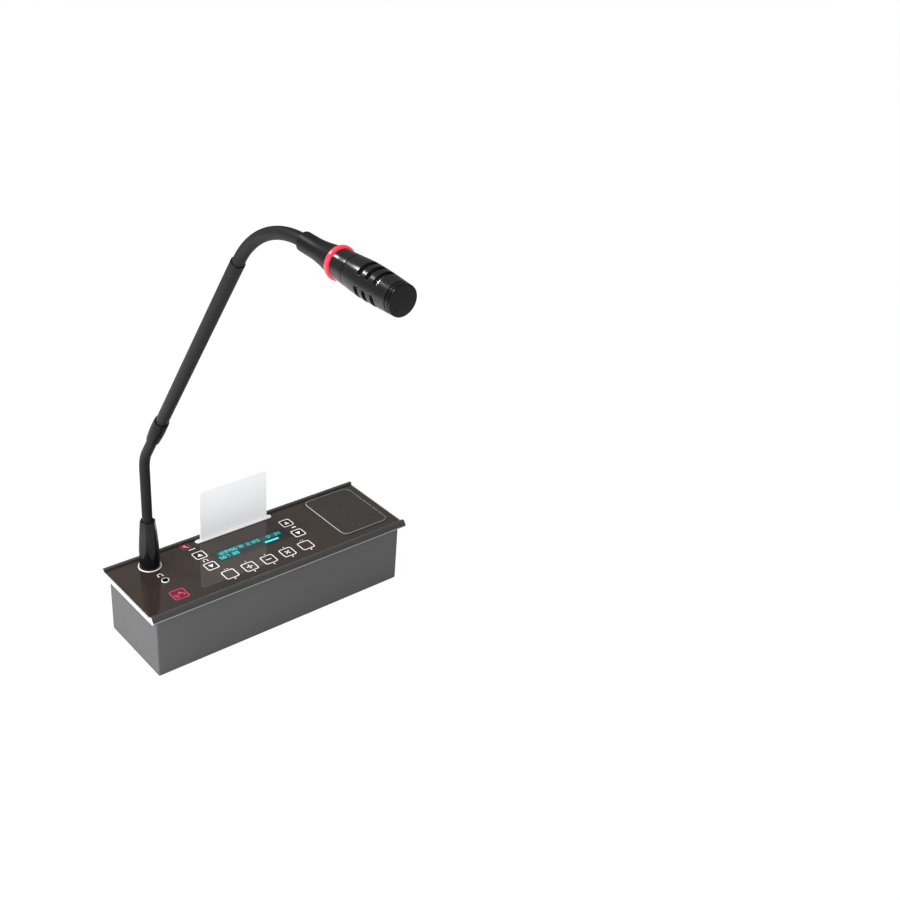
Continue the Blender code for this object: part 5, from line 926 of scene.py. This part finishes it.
def boot_walls(height, angle):
    """The boot's round radius, a belly r0 + (r1 - r0) sin(pi/2 h/hb) and then r1 - (r1 - r2) s^boot_power,
    and the distance d(h) / cos(a) of its flats from the axis."""
    share = np.clip((height - boot_belly_height) / (boot_height - boot_belly_height), 0, 1)
    swell = np.sin(np.pi / 2 * np.clip(height / boot_belly_height, 0, 1))
    taper = (boot_belly - boot_top_radius) * share**boot_power
    round_part = boot_foot + (boot_belly - boot_foot) * swell - taper
    fall = (boot_belly - boot_top_radius * boot_flat_top) / (boot_height - boot_flat_start)
    distance = boot_belly - fall * (height - boot_flat_start)
    from_flat = (angle - boot_flat_turn + np.pi / 6) % (np.pi / 3) - np.pi / 6
    return round_part, distance / np.cos(from_flat)


def boot_surface(height, angle):
    """The lesser of the round radius a and the flats b, with the crease between them eased:
    -e ln(exp(-a/e) + exp(-b/e))."""
    round_part, flat_part = boot_walls(height, angle)
    return -boot_crease * np.logaddexp(-round_part / boot_crease, -flat_part / boot_crease)


def on_flats(middles):
    """1 for the faces that lie on a milled flat, whose finish is painted lighter as painted light, 0 for the
    polished round ones.
    """
    x, y = middles[:, 0] - socket_x, middles[:, 1] - socket_y
    round_part, flat_part = boot_walls(middles[:, 2] - boot_low, np.arctan2(y, x))
    return (flat_part < round_part) & (np.hypot(x, y) > plug_bore)


# Each end of the boot is rounded over by a quarter circle, and the bore goes back down inside
boot_angle = even_angles(boot_sides)
edge_turn = np.linspace(0, np.pi / 2, edge_points)
low_fall, low_drop = 1 - np.cos(edge_turn[:-1]), 1 - np.sin(edge_turn[:-1])
high_fall, high_drop = 1 - np.sin(edge_turn[1:]), 1 - np.cos(edge_turn[1:])
heights = np.concatenate([boot_edge * low_fall, np.linspace(boot_edge, boot_height - boot_edge, boot_rows),
                          boot_height - boot_edge * high_fall])
drops = boot_edge * np.concatenate([low_drop, np.zeros(boot_rows), high_drop])
radius = boot_surface(heights[:, None], boot_angle) - drops[:, None]
boot_bore = np.array([(neck_bore, boot_height), (neck_bore, boot_height - neck_depth),
                      (plug_bore, plug_bore_top), (plug_bore, 0.0)])
radius = np.concatenate([radius, np.repeat(boot_bore[:, :1], boot_sides, 1)])
levels = np.concatenate([heights, boot_bore[:, 1]]) + boot_low
boot_grid = about_axis(radius, levels, boot_angle)
make("base_boot_moulding", [(boot_grid, [quads(len(levels), boot_sides, round_rows=True)])],
     [boot_soft, boot_flat_painted_light], "mic_base", "base_boot", on_socket, smooth_angle=40,
     choose=on_flats)
plug_sleeve = ring_section(plug_radius, plug_radius - plug_wall, plug_low, plug_low + plug_length,
                           (0.0003, 0.0001, 0.0001, 0.0002))
make("plug_sleeve", [turned(plug_sleeve)], bezel_silver, "mic_base", "plug_shell", on_socket)


# Goosenecks: a steel coil in a matt black sleeve, held in the boot, the collar, the stem and the head's boot.
# Each is drawn in four lengths, cut half way between its hinges.

neck_radius, neck_tail, neck_sides, neck_step, bend_share = 0.0034, 0.0110, 48, 0.0008, 0.98
stem_tilt, head_tilt = np.radians(33.94), np.radians(92.5)
lower_start = (socket_y, 0.08385)
lower_straight, lower_bend, lower_end = 0.0389, 0.0250, 0.0166
upper_straight, upper_bend, upper_end = 0.0010, 0.0652, 0.0005
stem_reach, hinges_each = 0.1810, 4


def neck_line(distance, start, tilt, straight, bend, turned_to):
    """(y, z, tilt) along a neck: straight, an arc of radius bend up to the tilt turned_to, and straight.

    y falls by straight sin t, bend (cos t - cos u) and rest sin u; z rises by straight cos t,
    bend (sin u - sin t) and rest cos u, where u is the tilt that is reached.
    """
    distance = np.asarray(distance, float)
    first = np.minimum(distance, straight)
    curved = np.clip(distance - straight, 0, bend * (turned_to - tilt)) / bend
    rest = np.maximum(distance - straight - bend * (turned_to - tilt), 0)
    now = tilt + curved
    y = start[0] - first * np.sin(tilt) - bend * (np.cos(tilt) - np.cos(now)) - rest * np.sin(turned_to)
    z = start[1] + first * np.cos(tilt) + bend * (np.sin(now) - np.sin(tilt)) + rest * np.cos(turned_to)
    return y, z, now


def point_on(line, distance):
    """The place at one distance along a line."""
    return (socket_x, *(float(value) for value in neck_line(distance, *line)[:2]))


def tube(line, start, end):
    """A round rod about a line: centre + r (cos a X + sin a N), N square to the line in its plane."""
    count = max(2, int(round((end - start) / neck_step)) + 1)
    y, z, tilt = (value[:, None] for value in neck_line(np.linspace(start, end, count), *line))
    angle = even_angles(neck_sides)
    across, out = neck_radius * np.cos(angle), neck_radius * np.sin(angle)
    y, z = y + out * np.cos(tilt), z + out * np.sin(tilt)
    grid = np.stack(np.broadcast_arrays(socket_x + across, y, z), -1)
    return grid, [quads(count, neck_sides), end_caps(count, neck_sides)]


lower_line = (lower_start, 0.0, lower_straight, lower_bend, stem_tilt)
lower_length = lower_straight + lower_bend * stem_tilt + lower_end
stem_foot = point_on(lower_line, lower_length)
stem_top = (stem_foot[1] - stem_reach * np.sin(stem_tilt), stem_foot[2] + stem_reach * np.cos(stem_tilt))
upper_line = (stem_top, stem_tilt, upper_straight, upper_bend, head_tilt)
upper_length = upper_straight + upper_bend * (head_tilt - stem_tilt) + upper_end
head_rear = point_on(upper_line, upper_length)
# Name, line and length of each neck, how far its first and last hinge lie from its ends, and its bodies
necks = (
    ("lower", lower_line, lower_length, 0.0060, 0.0060, "mic_base", "stem"),
    ("upper", upper_line, upper_length, 0.0080, 0.0070, "stem", "head"),
)
sleeve_black = finish("neck_sleeve", (29, 29, 30), 0.5, drift=0.06, drift_scale=90, grain=(1900, 8e-6),
                      specular=0.08)
for name, line, length, first, last, start_body, end_body in necks:
    stands_for = [name + "_neck_root", name + "_neck_link_1", name + "_neck_link_2",
                  "{0}_neck_link_3 {0}_neck_tip".format(name)]
    hinges = np.linspace(first, length - last, hinges_each)
    cuts = [-neck_tail, *((hinges[1:] + hinges[:-1]) / 2), length + neck_tail]
    for number, hinge in enumerate(hinges):
        low, high = cuts[number], cuts[number + 1]
        sleeve = make("{}_neck_sleeve_{}".format(name, number + 1), [tube(line, low, high)], sleeve_black,
                      None, stands_for[number])
        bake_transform(sleeve)


# Collar and stem: a barrel-shaped collar is moulded over the end of the lower gooseneck and holds the
# straight tube, which is drawn steel in matt black lacquer.

collar_length, collar_foot, collar_belly, collar_rim = 0.0228, 0.0043, 0.00485, 0.0046
collar_belly_share, collar_neck_depth, collar_ease, collar_sides, collar_rows = 0.6, 0.0120, 0.0003, 72, 40
stem_wall, stem_flare, past_ease = 0.00027, 0.0001, 1.01
stem_radius, stem_low = neck_bore + stem_wall, collar_neck_depth + seat_gap
along_stem = Matrix.Translation(stem_foot) @ Matrix.Rotation(stem_tilt, 4, "X")


def barrel(share, foot, belly, rim, belly_share):
    """A barrel's radius: foot + (belly - foot) sin(pi/2 s/b) up to b, then rim + (belly - rim) cos."""
    rising = foot + (belly - foot) * np.sin(np.pi / 2 * np.clip(share / belly_share, 0, 1))
    past = np.clip((share - belly_share) / (1 - belly_share), 0, 1)
    falling = rim + (belly - rim) * np.cos(np.pi / 2 * past)
    return np.where(share < belly_share, rising, falling)


def eased_wall(heights, radii, ease):
    """A curved outer wall with its two ends rounded over by ease, as (radius, height) points."""
    turn = np.linspace(0, np.pi / 2, edge_points)
    low = np.column_stack([radii[0] - ease * (1 - np.sin(turn)), heights[0] + ease * (1 - np.cos(turn))])
    high = np.column_stack([radii[-1] - ease * (1 - np.cos(turn)), heights[-1] - ease * (1 - np.sin(turn))])
    between = (heights > heights[0] + ease * past_ease) & (heights < heights[-1] - ease * past_ease)
    return np.concatenate([low, np.column_stack([radii, heights])[between], high])


collar_share = np.linspace(0, 1, collar_rows)
collar_radius = barrel(collar_share, collar_foot, collar_belly, collar_rim, collar_belly_share)
collar_wall = eased_wall(collar_share * collar_length, collar_radius, collar_ease)
collar_inside = [(stem_radius + seat_gap, collar_length), (stem_radius + seat_gap, collar_neck_depth),
                 (neck_bore, collar_neck_depth), (neck_bore, 0.0)]
collar_soft = finish("collar_moulding", (13, 13, 14), 0.4, grain=(2400, 5e-6), edge_tone=1.3, specular=0.09)
make("collar_moulding", [turned([*collar_wall, *collar_inside], collar_sides)], collar_soft, "stem",
     "stem_collar", along_stem)
stem_lacquer = finish("stem_lacquer", (26, 26, 27), 0.46, drift=0.04, drift_scale=70, grain=(2100, 5e-6),
                      specular=0.1)
stem_section = rounded([
    (stem_radius, stem_low, 0.0001), (stem_radius + stem_flare, stem_reach, 0.00025),
    (neck_bore, stem_reach, 0.00002), (neck_bore, stem_low, 0.00002),
])
make("stem_tube_lacquered", [turned(stem_section, collar_sides)], stem_lacquer, "stem",
     "stem_tube", along_stem)


# Head boot and light ring: the boot is moulded in the same soft black plastic as the foot, flares out to the
# ring and holds the gooseneck. The ring is a clear red moulding, lit from inside while the microphone is on.

head_boot_length, head_boot_rear, head_boot_waist, head_boot_front = 0.0267, 0.00505, 0.0051, 0.0075
waist_share, flare_power, head_boot_ease, head_boot_bore = 0.34, 1.6, 0.0004, 0.0125
ring_start, ring_length, ring_radius, ring_bore = 0.0270, 0.0024, 0.0085, 0.0060
head_boot_sides, head_boot_rows, ring_sides, ring_steps = 80, 50, 112, 8
along_head = Matrix.Translation(head_rear) @ Matrix.Rotation(head_tilt, 4, "X")
boot_share = np.linspace(0, 1, head_boot_rows)
flare = np.clip((boot_share - waist_share) / (1 - waist_share), 0, 1) ** flare_power
narrow = np.clip(boot_share / waist_share, 0, 1)
head_boot_radius = head_boot_rear + (head_boot_waist - head_boot_rear) * narrow
head_boot_radius += (head_boot_front - head_boot_waist) * flare
head_boot_profile = [(0.0, head_boot_bore), (neck_bore, head_boot_bore), (neck_bore, 0.0),
                     *eased_wall(boot_share * head_boot_length, head_boot_radius, head_boot_ease),
                     (0.0, head_boot_length)]
head_boot_soft = finish("head_boot_plastic", (17, 17, 18), 0.4, specular=0.13)
make("head_boot_moulding", [turned(head_boot_profile, head_boot_sides)], head_boot_soft, "head",
     "head_boot", along_head)
ring_red = finish("ring_red", (255, 46, 62), 0.3, drift_scale=120, grain=(1500, 2e-6), glow=0.85,
                  edge_tone=1.1)
ring_end = ring_start + ring_length
ring_shape = rounded([(ring_bore, ring_start, 0.0001), (ring_radius, ring_start, 0.0008),
                      (ring_radius, ring_end, 0.0008), (ring_bore, ring_end, 0.0001)], ring_steps)
make("light_ring_moulding", [turned(ring_shape, ring_sides)], ring_red, "head", "light_ring",
     along_head)


# Head: a turned sleeve, the slotted capsule housing and a screwed front cap, in black lacquer over aluminium.
# Fine bright mesh lies behind the slots, and the capsule inside it.

sleeve_start, sleeve_length, sleeve_radius, sleeve_bore, sleeve_waist = 0.0297, 0.0095, 0.0076, 0.0045, 0.42
sleeve_end, spigot_radius, spigot_length = sleeve_start + sleeve_length, 0.0071, 0.0018
housing_start, housing_length, housing_bore, housing_bevel = 0.0395, 0.0310, 0.0073, 0.00014
housing_rear, housing_belly, housing_front, housing_belly_share = 0.00805, 0.0087, 0.00795, 0.38
slot_width, slot_pitch, slot_first, row_length = 0.0027, 0.0056, 0.0116, 0.0009
slot_cells, web_cells, slots_round, slots_along = 20, 9, 3, 3
slot_span, slot_turn = np.radians(83), np.radians(15.5)
mesh_outer, mesh_inner, mesh_start, mesh_length = 0.0072, 0.0070, 0.0415, 0.0262
mesh_rows, mesh_columns = 89, 132
cap_start, cap_length, cap_front, cap_spigot, cap_spigot_length = 0.0711, 0.0030, 0.0078, 0.0063, 0.0024
groove_start, groove_width, groove_depth = 0.0728, 0.0004, 0.0004
head_steps = 6
head_lacquer = finish("head_lacquer", (22, 22, 23), 0.2, drift_scale=80, grain=(1700, 3e-6),
                      roughness_spread=0.04, edge_tone=1.5, specular=0.26)
sleeve_section = rounded([
    (sleeve_bore, ring_start, 0.0001), (ring_bore - seat_gap, ring_start, 0.0001),
    (ring_bore - seat_gap, sleeve_start, 0.0001), (sleeve_radius, sleeve_start, 0.00015),
    (sleeve_radius, sleeve_start + sleeve_length * sleeve_waist, 0.004), (housing_rear, sleeve_end, 0.00015),
    (spigot_radius, sleeve_end, 0.0001), (spigot_radius, sleeve_end + spigot_length, 0.0001),
    (sleeve_bore, sleeve_end + spigot_length, 0.0001),
], head_steps)
make("head_sleeve_turned", [turned(sleeve_section)], head_lacquer, "head", "head_sleeve",
     along_head)


def spread_lines(marks, step):
    """Values that pass through every mark, with even steps of at most step between them."""
    spans = [np.linspace(a, b, max(1, int(np.ceil((b - a) / step))), False)
             for a, b in zip(marks, marks[1:])]
    return np.concatenate([*spans, marks[-1:]])


# Three slots along and three round: rows pass through every slot's edges, and columns follow slot and web
slot_edges = np.array([slot_first + number * slot_pitch + side * slot_width / 2
                       for number in range(slots_along) for side in (-1, 1)])
lengths = spread_lines(np.array([0.0, *slot_edges, housing_length]), row_length)
turn_step = 2 * np.pi / slots_round
slot_part = np.linspace(-slot_span / 2, slot_span / 2, slot_cells, False)
web_part = np.linspace(slot_span / 2, turn_step - slot_span / 2, web_cells, False)
angles = np.concatenate([slot_part, web_part]) + np.arange(slots_round)[:, None] * turn_step
angles = angles.reshape(-1) + np.pi / 2 + slot_turn
row_middles = (lengths[1:, None] + lengths[:-1, None]) / 2
in_slot = ((row_middles > slot_edges[0::2]) & (row_middles < slot_edges[1::2])).any(1)
in_span = np.tile(np.arange(slot_cells + web_cells) < slot_cells, slots_round)
outer_radius = barrel(lengths / housing_length, housing_rear, housing_belly, housing_front,
                      housing_belly_share)
housing_wall = pierced(about_axis(outer_radius[:, None], lengths + housing_start, angles),
                       about_axis(housing_bore, lengths + housing_start, angles),
                       ~(in_slot[:, None] & in_span))
make("capsule_housing_slotted", [housing_wall], head_lacquer, "head", "capsule_housing",
     along_head, bevel=housing_bevel)

# Wires fill every second row and every second column of cells, and the rest of the cells are open
mesh_heights = mesh_start + np.linspace(0, mesh_length, mesh_rows)
mesh_angles = even_angles(mesh_columns)
meshes_open = (np.arange(mesh_rows - 1)[:, None] % 2 == 1) & (np.arange(mesh_columns) % 2 == 1)
mesh_bright = finish("bright_mesh", (215, 215, 214), 0.25, metallic=1.0, grain=(2500, 2e-6))
woven = pierced(about_axis(mesh_outer, mesh_heights, mesh_angles),
                about_axis(mesh_inner, mesh_heights, mesh_angles), ~meshes_open)
make("capsule_mesh_woven", [woven], mesh_bright, "head", "capsule_mesh", along_head)

# The cap's lacquer is a darker copy of the head's, painted shade on its front face, and its edges take a
# strong painted highlight.
cap_lacquer_painted_shade = finish("cap_lacquer_painted_shade", (13, 13, 14), 0.24, drift_scale=80, grain=(1700, 3e-6), edge_tone=1.8,
                     specular=0.2)
cap_end, groove_end = cap_start + cap_length, groove_start + groove_width
cap_section = rounded([
    (0.0, cap_start - cap_spigot_length, 0.0), (cap_spigot, cap_start - cap_spigot_length, 0.0002),
    (cap_spigot, cap_start, 0.0001), (housing_front, cap_start, 0.00015), (cap_front, groove_start, 0.0001),
    (cap_front - groove_depth, groove_start, 0.0), (cap_front - groove_depth, groove_end, 0.0),
    (cap_front, groove_end, 0.0001), (cap_front, cap_end, 0.0008), (0.0, cap_end, 0.0),
], head_steps)
make("front_cap_turned", [turned(cap_section)], cap_lacquer_painted_shade, "head", "front_cap", along_head)


# Pieces inside the box and the foot, which show through the grille, the slots, the sockets and from below:
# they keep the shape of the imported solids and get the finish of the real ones.

inner_drift, inner_grain = 0.07, (2600.0, 5e-6)
# Name, colour, roughness and metallic share of each finish, and its pieces without their numbers
inner_finishes = (
    ("plain_steel", (150, 150, 150), 0.32, 0.95,
     "display_holder speaker_top_plate speaker_yoke mic_socket_nut "
     "bus_sockets corner_post base_screw"),
    ("board_green", (24, 96, 58), 0.4, 0.0, "touch_board main_board"),
    ("black_moulding", (34, 34, 35), 0.5, 0.0, "reader_housing mic_socket_insert jack_body"),
    ("white_moulding", (226, 226, 222), 0.5, 0.0, "reader_contact_block"),
    ("light_guide", (236, 238, 238), 0.3, 0.0, "display_backlight"),
    ("display_glass", (26, 52, 52), 0.1, 0.0, "display_panel"),
    ("gold_plate", (222, 180, 104), 0.25, 1.0, "card_chip plug_pins"),
    ("gasket_foam", (20, 20, 20), 0.95, 0.0, "speaker_gasket"),
    ("basket_black", (22, 22, 23), 0.6, 0.0, "speaker_basket"),
    ("surround_rubber", (24, 24, 24), 0.7, 0.0, "speaker_surround"),
    ("cone_paper", (26, 26, 27), 0.85, 0.0, "speaker_cone"),
    ("copper_wire", (190, 110, 70), 0.35, 1.0, "voice_coil"),
    ("ferrite_grey", (64, 64, 66), 0.6, 0.2, "speaker_magnet"),
    ("brass_capsule", (206, 176, 112), 0.3, 1.0, "capsule"),
)
for name, colour, roughness, metallic, members in inner_finishes:
    inner = finish(name, colour, roughness, metallic, drift=inner_drift, grain=inner_grain)
    for node in nodes:
        if node.rstrip("_0123456789") in members.split():
            coat(node, inner)
